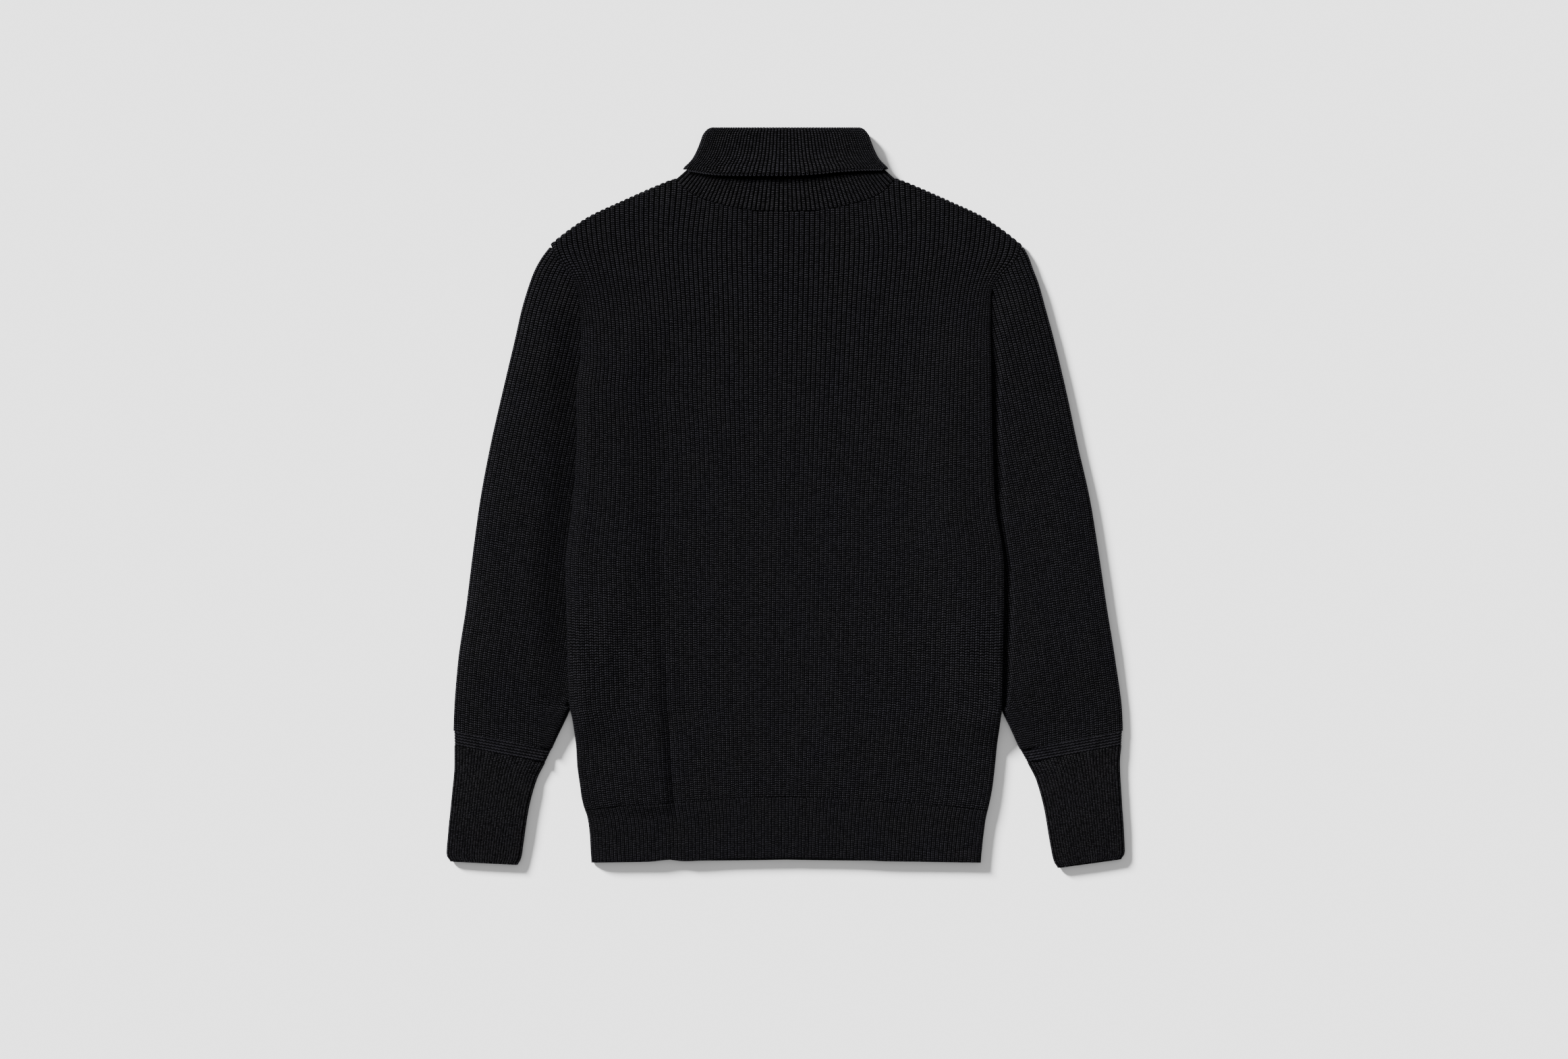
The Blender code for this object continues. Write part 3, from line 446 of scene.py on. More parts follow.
# How much of a full fold the body's side is: all of it below the underarm, nothing along the armhole seam
def sideRoll(y):
    return 1 - smoothStep(*body["rollRows"], y)


# Where a face starts to bend down at its side: inside the outline by the bend's radius
def flatEdge(sign, y):
    return sideAt(sign, y) - knit["armholeRound"] - (halfStack - knit["armholeRound"]) * sideRoll(y)


# Where a wale lies: its share of the half width, spread by a sine, plus the outer wales' way out to the shoulder,
# which turns more gently the further in a wale lies. The last ones crowd together towards the edge
def waleX(sign, share, y):
    edge = flatEdge(sign, y)
    inner = edge + (sideCurve(body, "inner", sign, y) - edge) * smoothStep(*body["innerRows"], y)
    spread = share + curveAt(*body["spread"], y) * np.sin(np.pi * share) / np.pi
    outer = share ** body["outerPower"]
    way = (edge - inner) * outer + curveAt(*body["easedWay"], y) * (1 - outer)
    away = inner * spread + way * share ** body["edgePower"]
    pullAt, pullWidth = body["neckPullAt"]
    pull = np.exp(-(((away - pullAt) / pullWidth) ** 2)) * smoothStep(*body["neckPullRows"], y)
    away = away - body["neckPull"] * pull
    crowd, width = np.where(sign < 0, *body["crowd"]), np.where(sign < 0, *body["crowdWidth"])
    crowded = away + crowd * (1 - np.exp((away - edge) / width)) * away / edge
    return sign * crowded + body["lean"] * y * (1 - share**2)


# Air between front and back: none at a fold, and nearly its whole height a few millimetres in from it
def bodyAir(x, y):
    side = np.maximum(sideAt(np.sign(x), y) - np.abs(x), 0)
    top = np.maximum(lineAt("shoulder", x) - y, 0)
    folded = np.exp(-side / np.where(x < 0, *body["foldWidth"])) * sideRoll(y)
    closed = np.exp(-top / body["topWidth"]) * smoothStep(*body["topFrom"], np.abs(x))
    return knit["airRise"] * (1 - folded) * (1 - closed)


# The body rises over the tucked sleeves, and its sides hang down a little beside them
def bodyLift(x, y):
    sign = np.sign(x)
    tuck = np.minimum(sideCurve(sleeveSides, "inner", sign, y), sideAt(sign, y) - halfStack)
    across = smoothStep(*body["ramp"], np.abs(x) - tuck)
    droop = np.where(sign < 0, *body["droop"]) * smoothStep(-body["droopWidth"], 0, np.abs(x) - sideAt(sign, y))
    return (lift * across - droop) * curveAt(*body["liftAlong"], y)


# How much of a full fold the top is: nothing at the neck, all of it along the shoulder
def shoulderRoll(x):
    return smoothStep(*body["shoulderFrom"], np.abs(x))


# A panel's upper end: the neck's line and then the shoulder's, drawn back by what goes round the edge
def topLine(neck):
    def line(x):
        edge = np.where(np.abs(x) < body["neckHalf"], lineAt(neck, x), lineAt("shoulder", x))
        rolled = shoulderRoll(x)
        return edge - body["shoulderInset"] * halfStack * rolled - knit["seamRound"] * (1 - rolled)
    return line


# Height of each column's end, found by going half way towards it again and again
def settle(height, sign, share):
    y = np.zeros_like(share)
    for _ in range(knit["turns"]):
        y = (y + height(waleX(sign, share, y))) / 2
    return y


# The course that a point is on: heights divided by the course's own, along lines that sag between the sides and bend
# down beside the armhole seams
def courseAt(x, y):
    drop, width = body["shoulderBend"]
    beside = np.clip(1 - (sideAt(np.sign(x), y) - np.abs(x)) / width, 0, 1) ** 2 * smoothStep(*body["bendRows"], y)
    return (y - curveAt(*body["sag"], y) * (x / body["sagHalf"]) ** 2 + drop * beside) / body["course"]


# Columns across a flat piece: its wales, and the columns that go round the fold at each side
def flatColumns(settings):
    half = settings["wales"] / 2
    flat = np.linspace(-half, half, settings["wales"] * settings["perWale"] + 1)
    turn = np.linspace(0, settings["rollWales"], settings["rollColumns"] + 1)[1:]
    wale = np.concatenate((-half - turn[::-1], flat, half + turn))
    sign, away = np.where(wale < 0, -1, 1), np.abs(wale)
    return wale, sign, np.minimum(away / half, 1), np.maximum(away - half, 0) / settings["rollWales"]


# Rows along a piece: the part of its length that each lies at, and how far it has bent down at one of the two ends
def lengthRows(settings):
    ends = np.linspace(0, 1, settings["endRows"] + 1)[1:]
    part = np.concatenate((0 * ends, np.linspace(0, 1, settings["rows"] + 1), 0 * ends + 1))[:, None]
    bend = np.concatenate((-ends[::-1], np.zeros(settings["rows"] + 1), ends))[:, None] * np.pi / 2
    return part, bend


# Points of one face. An edge bends down by a quarter turn: round half the stack at a fold, within the wall at a seam
def flatFace(settings, face, bottom, top, foldTop, bottomEnd, creases, radius, rib):
    wale, sign, share, roll = flatColumns(settings)
    part, bend = lengthRows(settings)
    turn, atTop, atBottom = roll * np.pi / 2, np.maximum(bend, 0), np.maximum(-bend, 0)
    low, high = settle(bottom, sign, share), settle(top, sign, share)
    y = low + part * (high - low)
    x = waleX(sign, share, y)
    folded, foldedTop = sideRoll(y), foldTop(x)
    level = np.cos(turn) * np.cos(atTop)
    sideDown, topDown, bottomDown = (1 - np.cos(angle) for angle in (turn, atTop, atBottom))
    relief = rib * (ribProfile(wale) - (level if face < 0 else 0))
    edgeFall = knit["edgeFall"] * (radius - innerFace)
    fall = np.maximum.reduce(np.broadcast_arrays(
        sideDown * (radius * folded + edgeFall * knit["armholeShare"] * (1 - folded)),
        topDown * (radius * foldedTop + edgeFall * knit["seamShare"] * (1 - foldedTop)),
        bottomDown * edgeFall * bottomEnd[1],
    ))
    onFold, onSeam = (radius + knit["foldRib"] * relief) * folded, knit["armholeRound"] * (1 - folded)
    outSide = np.sin(turn) * (onFold + onSeam * (1 - foldedTop * np.sin(atTop)))
    outTop = np.sin(atTop) * ((radius + relief) * foldedTop + knit["seamRound"] * (1 - foldedTop))
    slope = np.clip((top(x + 1) - top(x - 1)) / 2, -1, 1)
    length = np.sqrt(1 + slope**2)
    px = x + sign * outSide - outTop * slope / length
    py = y + outTop / length - np.sin(atBottom) * bottomEnd[0]
    height = np.maximum(radius + knit["ribShare"] * relief * level * np.cos(atBottom) - fall, knit["gap"] / 2)
    height = face * height + (bodyAir(px, py) if face > 0 else 0)
    pz = halfStack + bodyLift(px, py) + height + foldHeight(creases, px, py) * level
    # Painted shade: the yarn is painted darker down in the seams, less so at the neck's seam, and beside and on the
    # shoulders' fold
    topPaintedShade = np.where(y > knit["neckFrom"], knit["neckPaintedShade"], 1) * knit["seamPaintedShade"]
    depth = np.maximum.reduce(np.broadcast_arrays(
        sideDown * (1 - folded) * knit["seamPaintedShade"],
        topDown * (1 - foldedTop) * topPaintedShade,
        bottomDown * (bottomEnd[1] < 1) * knit["seamPaintedShade"],
        # painted shade beside the shoulders' fold and on it
        foldedTop * knit["edgePaintedShade"] * np.exp(-np.maximum(high - y, 0) / knit["edgePaintedShadeWidth"]),
        foldedTop * knit["foldPaintedShade"] * np.sin(atTop) ** 2,
    ))
    return stacked(px, py, pz), stacked(wale, courseAt(px, py)), depth


# Folds of the front. Each has a row of heights, then for each height its place across, its depth (below 0 it is a
# ridge), and the widths over which it falls off on its left and on its right
folds = (
    ((-388, -338, -322, -260, -200, -145, -88, 0, 100),
     (-115, -116, -117, -122, -125, -130.5, -133, -137, -138),
     (0.4, 0.8, 2.4, 2.3, 1.9, 1.6, 1.1, 0.5, 0), (6, 5, 4.2, 4.4, 5.5, 7, 9, 14, 20),
     (4, 3, 2.8, 3, 4, 5, 6, 9, 12)),
    ((-388, -338, -320, -260, -200, -145, -88, 0, 60),
     (-129, -131, -131.3, -137, -141.5, -149.5, -152, -156, -160),
     (-0.3, -0.8, -5.0, -5.8, -5.6, -4.8, -3.2, -1.2, 0), (34, 34, 46, 50, 50, 46, 40, 32, 28),
     (12, 12, 11, 11.2, 13, 15.5, 17.5, 20, 20)),
    ((-330, -300, -250, -170, -120), (18, 24, 40, 62, 74),
     (0, -0.9, -1.5, -1.2, 0), (16, 16, 18, 20, 20), (60, 60, 58, 50, 44)),
    ((228, 246, 282, 300), (-151, -154, -161, -164),
     (0, 0.6, 0.7, 0), (5, 5, 5, 5), (4, 4, 4, 4)),
    ((-336, -300, -262, -240), (152, 150, 146, 144),
     (0, 0.6, 0.7, 0), (12, 12, 12, 12), (9, 9, 9, 9)),
)

# Folds of the back: soft furrows in its underside, which goes up in them and is flat on the table elsewhere
backFolds = (
    ((-340, -300, -210, -120, -60), (88, 92, 104, 112, 120),
     (0, -0.9, -1.3, -0.8, 0), (14, 14, 17, 20, 24), (9, 10, 12, 15, 18)),
    ((-230, -170, -40, 70, 140), (-44, -50, -66, -72, -84),
     (0, -0.7, -1.4, -0.9, 0), (12, 12, 15, 18, 22), (20, 20, 24, 26, 30)),
    ((-20, 40, 130, 230, 290), (52, 46, 34, 30, 26),
     (0, -0.8, -1.1, -0.6, 0), (18, 16, 14, 14, 16), (10, 10, 12, 14, 16)),
    ((-388, -360, -318, -270, -240), (-30, -31, -34, -40, -44),
     (-0.5, -0.7, -1.0, -0.6, 0), (9, 9, 10, 13, 16), (13, 13, 14, 16, 18)),
    ((150, 176, 214, 250), (-152, -146, -136, -124),
     (0, -0.8, -0.9, 0), (8, 9, 10, 12), (12, 13, 14, 16)),
)


# Height of the folds: minus the depth, times a bell that is narrower on one side than on the other
def foldHeight(creases, x, y):
    total = np.zeros(np.broadcast(x, y).shape)
    for heights, *rows in creases:
        across, depth, left, right = (curveAt(heights, row, y) for row in rows)
        total = total - depth / np.cosh((x - across) / np.where(x < across, left, right)) ** knit["foldPower"]
    return total


hem = {
    "wales": 107, "perWale": 4, "rollColumns": 4, "rollWales": 0.8, "rows": 20, "endRows": 4, "rowsInside": 8,
    "columnsInside": 40, "ribHeight": 0.9,
    "notch": (2.0, -125, 11),  # the lower edge is drawn up below the long crease: by how much, where, how wide
}


# A seam's two ends lie back from its line by what bends down, and a free edge by more
def bodyBottom(x):
    return lineAt("hemSeam", x) + knit["seamRound"]


def hemTop(x):
    return lineAt("hemSeam", x) - knit["seamRound"]


def hemBottom(name):
    drawn, across, width = hem["notch"]
    return lambda x: lineAt(name, x) + drawn * np.exp(-(((x - across) / width) ** 2)) + knit["edgeRound"]


def flatPiece(name, node, wool, settings, *edges):
    outer, uv, depth = flatFace(settings, *edges, halfStack, settings["ribHeight"])
    inner, _, _ = flatFace(settings, *edges, innerFace, 0)
    shell = flatShell(outer, uv, inner, settings["rowsInside"], settings["columnsInside"], depth)
    makePiece(name, shell, wools[wool], node)


freeEnd, seamEnd = (knit["edgeRound"], 1.0), (knit["seamRound"], knit["seamShare"])
for row in (
    # name, node, wool, settings, face up or down, lower end, upper end, how much of a fold that is, lower bend, folds
    ("frontPanel", "front", "Rib", body, 1, bodyBottom, topLine("frontNeck"), shoulderRoll, seamEnd, folds),
    ("backPanel", "back", "Rib", backBody, -1, bodyBottom, topLine("backNeck"), shoulderRoll, seamEnd, backFolds),
    ("hemFront", "hem_front", "FineRib", hem, 1, hemBottom("hemFront"), hemTop, np.zeros_like, freeEnd, folds),
    ("hemBack", "hem_back", "FineRib", hem, -1, hemBottom("hemBack"), hemTop, np.zeros_like, freeEnd, backFolds),
):
    flatPiece(*row)
print("body laid")

# Sleeves: wales run parallel to the outer fold, from the armhole seam to the purl band
sleeve = {
    "wales": 28,
    "fullWales": 20,  # so many from the outer fold have their full width, and the rest share what is left
    "fullShare": 0.93,
    "pitch": 4.57,
    "perWale": 6, "foldColumns": 6, "rows": 128, "endRows": 4, "rowsInside": 22, "columnsInside": 30, "ribHeight": 1.2,
    "narrowFrom": (0.05, 0.45), "narrowRib": 0.2, "course": 2.3, "tilt": np.radians(10.3),
    "width": 120.0,  # about, before it is worked out
    "widthStep": 0.8,
    "end": -246.4, "shoulder": 266.0, "underarm": 116, "underarmTop": 128, "armholeGap": 0.36,
    "crevice": (0.9, 0.7),  # how much deeper the sleeve's start bends down beside the body
    "dome": (5.4, 4.6),  # left and right
    "domeWidth": 45, "domeStart": (0, 0.12), "domeEnd": (0.78, 1), "domeFall": 0.62, "riseWidth": 2.5,
    "slope": (-4, 38),  # the left side's long slope, from the body's edge out
    "trench": ((-222, -196, -110, -74, -52, -38, -16, 12, 41, 69, 126, 184, 205, 221),
               (2, 5.2, 6.2, 5.6, 3.6, 3.8, 6.8, 7.8, 6.6, 5.2, 5.5, 5.2, 4.2, 0)),
    "trenchWall": (1.4, 4.2), "trenchLeast": 0.4,
    "apex": -222,  # below this height the inner fold lies beside the body, on the table
    # painted shade on the left sleeve beside the body: how dark, over which distances out from the body's edge it
    # fades, and between which heights it fades in and out
    "paintedShading": 0.2, "paintedShadingAcross": (5, 55), "paintedShadingRows": ((-215, -120), (90, 200)),
}
acrossX, acrossY = -np.cos(sleeve["tilt"]), -np.sin(sleeve["tilt"])


# A place on a sleeve: from the outer fold's point at outerY, so far along a course
def sleevePoint(sign, outerY, distance):
    return sideCurve(sleeveSides, "outer", sign, outerY) + acrossX * distance, outerY + acrossY * distance


# The distance at which that place meets the inner fold
def sleeveWidth(sign, outerY):
    width = np.full(np.shape(outerY), sleeve["width"])
    for _ in range(knit["turns"]):
        x, y = sleevePoint(sign, outerY, width)
        width = width + (x - sideCurve(sleeveSides, "inner", sign, y)) * sleeve["widthStep"]
    return width


# A wale's distance from the outer fold
def sleeveDistance(sign, outerY, share):
    inset = halfStack + knit["sleeveInset"]
    wide = sleeveWidth(sign, outerY) - inset - halfStack
    full = np.minimum(sleeve["fullWales"] * sleeve["pitch"], wide * sleeve["fullShare"])
    knee = sleeve["fullWales"] / sleeve["wales"]
    narrow = full + (wide - full) * (share - knee) / (1 - knee)
    return inset + np.where(share < knee, full * share / knee, narrow)


# The height on the outer fold from which a wale starts, halved in on the armhole seam or the line under the arm
def sleeveStart(sign, share):
    low, high = np.full(share.shape, sleeve["end"]), np.full(share.shape, sleeve["shoulder"])
    tucked = sideCurve(sleeveSides, "inner", sign, sleeve["underarm"]) + halfStack
    for _ in range(knit["turns"]):
        middle = (low + high) / 2
        x, y = sleevePoint(sign, middle, sleeveDistance(sign, middle, share))
        seam = sideAt(sign, np.maximum(y, body["armpit"])) + sleeve["armholeGap"]
        near = np.clip((y - sleeve["underarm"]) / (sleeve["underarmTop"] - sleeve["underarm"]), 0, 1)
        inside = (x > tucked + (seam - tucked) * near) | (y < sleeve["underarm"])
        low, high = np.where(inside, middle, low), np.where(inside, high, middle)
    return middle


# Places round a flattened tube: over the top from the outer fold, round the inner fold and back below
def tubeColumns(settings):
    wales, foldColumns = settings["wales"], settings["foldColumns"]
    foldWales = settings.get("foldWales", knit["foldWales"])
    flat = np.linspace(0, 1, wales * settings["perWale"] + 1)
    turn = np.linspace(0, np.pi, foldColumns + 2)[1:-1]
    share = np.concatenate((flat, np.ones(foldColumns), flat[::-1], np.zeros(foldColumns)))
    angle = np.concatenate((0 * flat, turn, 0 * flat + np.pi, np.pi + turn))
    wale = np.concatenate((
        flat * wales, wales + foldWales * turn / np.pi, wales + foldWales + (1 - flat[::-1]) * wales,
        2 * wales + foldWales * (1 + turn / np.pi), [2 * (wales + foldWales)],
    ))
    return share, angle, wale


# How far a tube's relief is cut in: all of it below, where the tube lies on the table
def cutIn(angle):
    return np.maximum(-np.cos(angle), 0)


# A tube of one piece. place gives each point's place in plan, and its distance from the outer fold and along the piece
def tubePiece(kind, side, wool, settings, place, ends, relief, dome, course, paintedShading=lambda x, y: 0):
    share, angle, wale = tubeColumns(settings)
    part, bend = lengthRows(settings)
    rounded, fallShare = (np.where(bend < 0, start, finish) for start, finish in zip(*ends))
    faces = []
    for radius in (halfStack, innerFace):
        raised = relief(part, share, wale[:-1], angle) if radius == halfStack else 0
        fall = knit["edgeFall"] * (radius - innerFace) * fallShare * (1 - np.cos(bend))
        reach = np.maximum(radius + raised - fall + 0 * angle, knit["gap"] / 2)
        out = reach * np.abs(np.sin(angle)) * np.where(share > 0.5, 1, -1)
        x, y, distance, along = place(part, share, out, np.sin(bend) * rounded)
        lifted = dome(part, distance, x, y) * np.maximum(np.cos(angle), 0)
        z = halfStack + (reach - raised * (1 - knit["ribShare"])) * np.cos(angle) + lifted
        faces.append(stacked(x, y, z))
    uv = stacked(wale, course(np.concatenate((along, along[:, :1]), axis=1), part))
    # painted shade: darker down in a seam's bend, and the left sleeve's painted shade beside the body
    depth = np.maximum(knit["seamPaintedShade"] * (1 - np.cos(bend)) * (fallShare < 1), paintedShading(x, y))
    shell = tubeShell(faces[0], uv, faces[1], settings["rowsInside"], settings["columnsInside"], depth)
    makePiece(kind + side, shell, wools[wool], kind + "_" + side.lower())


# Sleeve relief: the ribs stand out on top and are cut in below, and the narrow ones by the inner fold are lower
def sleeveRelief(part, share, wale, angle):
    narrow = smoothStep(*sleeve["narrowFrom"], 1 - share) * (1 - sleeve["narrowRib"]) + sleeve["narrowRib"]
    return sleeve["ribHeight"] * narrow * (ribProfile(wale) - cutIn(angle))


# Painted shade: the left sleeve's colour is painted a little darker towards the body's edge
def sleevePaintedShading(x, y):
    beside = 1 - smoothStep(*sleeve["paintedShadingAcross"], np.abs(x) - sideAt(np.sign(x), y))
    low, high = sleeve["paintedShadingRows"]
    return sleeve["paintedShading"] * beside * (x < 0) * smoothStep(*low, y) * (1 - smoothStep(*high, y))


# The air inside a sleeve: it rises fast beside the outer fold and is pressed flat where the body lies on it. On the
# left a long slope leads down to the body, on the right it falls steeply into a trench beside the body's edge
def sleeveDome(part, distance, x, y):
    sign = np.sign(x)
    outward = np.abs(x) - sideAt(sign, y)
    trench = curveAt(*sleeve["trench"], y)
    steep = smoothStep(*(trench + wall for wall in sleeve["trenchWall"]), outward)
    pressed = np.where(sign < 0, (1 - smoothStep(*sleeve["slope"], outward)) * sideRoll(y),
                       (1 - steep) * (trench > sleeve["trenchLeast"]))
    inside = np.maximum(np.abs(x) - sideCurve(sleeveSides, "inner", sign, y), 0)
    rise = np.minimum(1 - pressed * (y > sleeve["apex"]), 1 - np.exp(-inside / sleeve["riseWidth"]))
    wide = 1 - (1 - np.clip(distance / sleeve["domeWidth"], 0, 1)) ** 3
    shape = knit["airRise"] * (1 - np.exp(-np.maximum(distance, 0) / sleeve["riseWidth"]))
    dome = np.where(sign < 0, *sleeve["dome"]) * wide * smoothStep(*sleeve["domeStart"], part)
    return rise * (shape + dome) * (1 - sleeve["domeFall"] * smoothStep(*sleeve["domeEnd"], part))


for side, sign in sides:
    share = tubeColumns(sleeve)[0]
    starts = sleeveStart(sign, share)

    def sleevePlace(part, share, out, push, sign=sign, starts=starts):
        outerY = starts + part * (sleeve["end"] - starts) - push
        distance = sleeveDistance(sign, outerY, share)
        x, y = sleevePoint(sign, outerY, distance + out)
        return sign * x, y, distance + 0 * x, outerY

    # the end bends down deeply where the seam lies in the crevice beside the body, and hardly above it
    beside = sideRoll(sleevePoint(sign, starts, sleeveDistance(sign, starts, share))[1])
    creviceEnd = [start + more * beside for start, more in zip(seamEnd, sleeve["crevice"])]
    tubePiece("sleeve", side, "Rib", sleeve, sleevePlace, (creviceEnd, seamEnd), sleeveRelief, sleeveDome,
              lambda along, part: along / sleeve["course"], sleevePaintedShading)
print("sleeves laid")

# Cuffs and bands run between the two ends of each section. These are the cuffs', from the band down to the hand
cuffEnds = {
    "Left": {
        "outer": (350.4, 350.4, 353.5, 357.2, 358.8, 355.5), "outerY": (-262.5, -280, -318, -355, -378, -383.6),
        "inner": (254.8, 263.7, 272.2, 277.4, 280.2, 283.2), "innerY": (-280.5, -298.6, -330, -364, -382, -387.2),
    },
    "Right": {
        "outer": (355, 353.5, 355.3, 357.8, 358.6, 355.5), "outerY": (-262.5, -280, -318, -355, -376, -381.2),
        "inner": (255.9, 265, 273.6, 279.4, 284, 287.4), "innerY": (-280.5, -298.6, -330, -364, -385.5, -390.6),
    },
}
cuff = {
    "wales": 27, "perWale": 5, "foldColumns": 6, "rows": 34, "endRows": 3, "rowsInside": 8, "columnsInside": 24,
    "ribHeight": 0.9, "course": 1.65, "width": 86, "dome": 2.8, "domePower": 0.35, "domeEnd": (0.6, 1), "domeFall": 0.6,
}
band = {
    "wales": 28, "perWale": 3, "foldColumns": 6, "rows": 30, "endRows": 2, "rowsInside": 3, "columnsInside": 20,
    "ridges": 5, "ridgeHeight": 0.6, "ridgePower": 0.8, "width": 98, "length": 16.0,
}


# A place between the two ends of a section: ends gives the outer and inner end for a part of the length
def straightPlace(sign, ends):
    def place(part, share, out, push):
        outerX, outerY, innerX, innerY = ends(part)
        length = np.hypot(innerX - outerX, innerY - outerY)
        dirX, dirY = (innerX - outerX) / length, (innerY - outerY) / length
        inset = halfStack + knit["cuffInset"]
        distance = inset + share * (length - 2 * inset) + out
        x = outerX + dirX * distance + dirY * push
        y = outerY + dirY * distance + dirX * push
        return sign * x, y, distance, outerY + 0 * x
    return place


# Cuffs have ribs, and bands have ridges round them whose section is a blunt half wave
def fineRelief(part, share, wale, angle):
    return cuff["ribHeight"] * (ribProfile(wale) - cutIn(angle))


def ridgeRelief(part, share, wale, angle):
    return band["ridgeHeight"] * (np.abs(np.sin(np.pi * part * band["ridges"])) ** band["ridgePower"] - cutIn(angle))


# The air inside a cuff or a band: a blunt half wave across it, which falls towards the hand
def wristDome(distance, width):
    return cuff["dome"] * np.sin(np.pi * np.clip(distance / width, 0, 1)) ** cuff["domePower"]


def cuffDome(part, distance, x, y):
    return wristDome(distance, cuff["width"]) * (1 - smoothStep(*cuff["domeEnd"], part) * cuff["domeFall"])


def bandDome(part, distance, x, y):
    return wristDome(distance, band["width"])


for side, sign in sides:
    ends, wrist = cuffEnds[side], np.array(sleeve["end"])
    sleeveEnds = (*sleevePoint(sign, wrist, 0.0), *sleevePoint(sign, wrist, sleeveWidth(sign, wrist)))

    def bandSection(part, ends=ends, sleeveEnds=sleeveEnds):
        bent = knit["seamRound"] / band["length"]
        down = bent + part * (1 - 2 * bent)
        return [a + (ends[key][0] - a) * down for a, key in zip(sleeveEnds, ("outer", "outerY", "inner", "innerY"))]

    def cuffSection(part, ends=ends):
        heights = ends["outerY"]
        at = heights[0] + part * (heights[-1] - heights[0])
        down = [-height for height in heights]
        outer, inner, innerY = (curveAt(down, ends[key], -at) for key in ("outer", "inner", "innerY"))
        return outer, at, inner, innerY

    tubePiece("band", side, "Purl", band, straightPlace(sign, bandSection), (seamEnd, seamEnd), ridgeRelief, bandDome,
              lambda along, part: part * band["ridges"] + 0 * along)
    tubePiece("cuff", side, "CuffRib", cuff, straightPlace(sign, cuffSection), (seamEnd, freeEnd), fineRelief,
              cuffDome, lambda along, part: along / cuff["course"])
print("cuffs laid")

# Collar: one wall that goes up as the stand, over the fold and down outside. A ring is the flattened section at one
# place of that way: a flat front and back, and a round at each side
collar = {
    "wales": 55, "perWale": 6, "foldColumns": 24, "foldWales": 6.5, "ribHeight": 1.0, "course": 1.9,
    "crowd": 0.35,  # how much closer the wales lie towards the sides
    "width": ((338, 345, 349, 354, 358, 366, 379, 384, 388, 391),
              (120, 109, 106.8, 101.6, 98.2, 93.7, 88.6, 86.8, 83.5, 80.5)),
    "edgeFront": ((-109, -97, -82, -68, -42, 0, 28, 55, 80, 109),
                  (347.4, 345.8, 343.4, 342.2, 341.7, 341.7, 342.9, 345.6, 347.2, 347.8)),
    "edgeBack": 347, "top": 391,
    "level": 366,  # from here down the turned-down part's edge is shaped
    "seamHalf": 116, "seamDip": 0.25, "seamRib": 0.6,
    "standNarrows": 0.7,  # the stand's width at the level, as a share of the seam's
    "standRise": 345,  # where the stand has risen to its full height above the table
    "standMiddle": 4.5, "middle": 4.9,  # of the two walls, above the table
    "edgeLift": 4.2, "liftHalf": 106,  # how far the edge stands off in front, and half the width that does
    # painted shadow on the stand below the turned-down edge: how far below the edge it fades out, and where it sets in
    # on the left
    "bendRib": 0.4, "paintedShadowBelow": (4.6, 6.4), "paintedShadowFrom": (-92, -62),
    # parts of the way up the stand, close together in the shade, and of the turned-down part's inner and outer face
    "standParts": (0.012, 0.05, 0.1, 0.17, 0.25, 0.32, 0.37, 0.41, 0.44, 0.47, 0.495, 0.52, 0.54, 0.56, 0.58, 0.6,
                   0.64, 0.7, 0.82),
    "innerParts": (0.5, 0.15, 0.03),
    "outerParts": (0.0, 0.025, 0.06, 0.11, 0.18, 0.27, 0.37, 0.48, 0.6, 0.72, 0.85),
    "standInnerParts": (0.5, 0.25, 0.03, 0),
    "edgeSteps": (0.35, -0.012),
    "foldRings": (4, 10), "frontRings": 9,  # inside and outside over the fold, and from the level up to it
    "liftTurn": 5,  # how soon the lift sets in beside the side rounds
}
collarOuter = collar["middle"]
collarInner = collarOuter - knit["wall"]
foldMiddle = (halfStack + collarInner) / 2
foldOut, foldIn = collarOuter - foldMiddle, collarInner - foldMiddle
foldY = collar["top"] - foldOut
collarShare, collarAngle, collarWale = tubeColumns(collar)
collarAcross = 2 * collarShare - 1
collarAcross = (1 - collar["crowd"]) * collarAcross + collar["crowd"] * np.sin(np.pi / 2 * collarAcross)
collarSide = np.where(collarAcross < 0, -1, 1)
facing, turning = np.cos(collarAngle), np.abs(np.sin(collarAngle))
seamHalf = collar["seamHalf"] - halfStack
standHalf = seamHalf * collar["standNarrows"]


# Ribs stand out in front and are cut in behind, where the collar lies on other cloth
def collarSection(half, y, middle, radius, rib, lifted=0.0):
    reach = radius + rib * (ribProfile(collarWale[:-1]) - np.maximum(-facing, 0))
    x = collarAcross * half + collarSide * reach * turning
    lift = collar["edgeLift"] * np.maximum(1 - (x / collar["liftHalf"]) ** 2, 0)
    return stacked(x, y, middle + reach * facing + lifted * lift * np.clip(facing * collar["liftTurn"], 0, 1))


# Half the width between the two side rounds at a height
def collarHalf(y):
    return curveAt(*collar["width"], y) - collarOuter


# The front and the back of an edge differ, and run into each other round the sides
def frontOrBack(front, back):
    return front * (1 + facing) / 2 + back * (1 - facing) / 2


# Stand: each wale runs straight from the neck seam to the level, leaning in as the tube narrows
def standRing(part, radius, rib):
    seamX = collarAcross * seamHalf
    low = frontOrBack(lineAt("frontNeck", seamX), lineAt("backNeck", seamX))
    y = low + part * (collar["level"] - low)
    half = seamHalf * (1 - part * (1 - collar["standNarrows"]))
    risen = np.clip((y - low) / (collar["standRise"] - low), 0, 1)
    air = bodyAir(seamX, low) * (1 - risen) / 2
    middle = halfStack + (collar["standMiddle"] - halfStack) * risen + air
    return collarSection(half, y, middle, radius + air, rib)


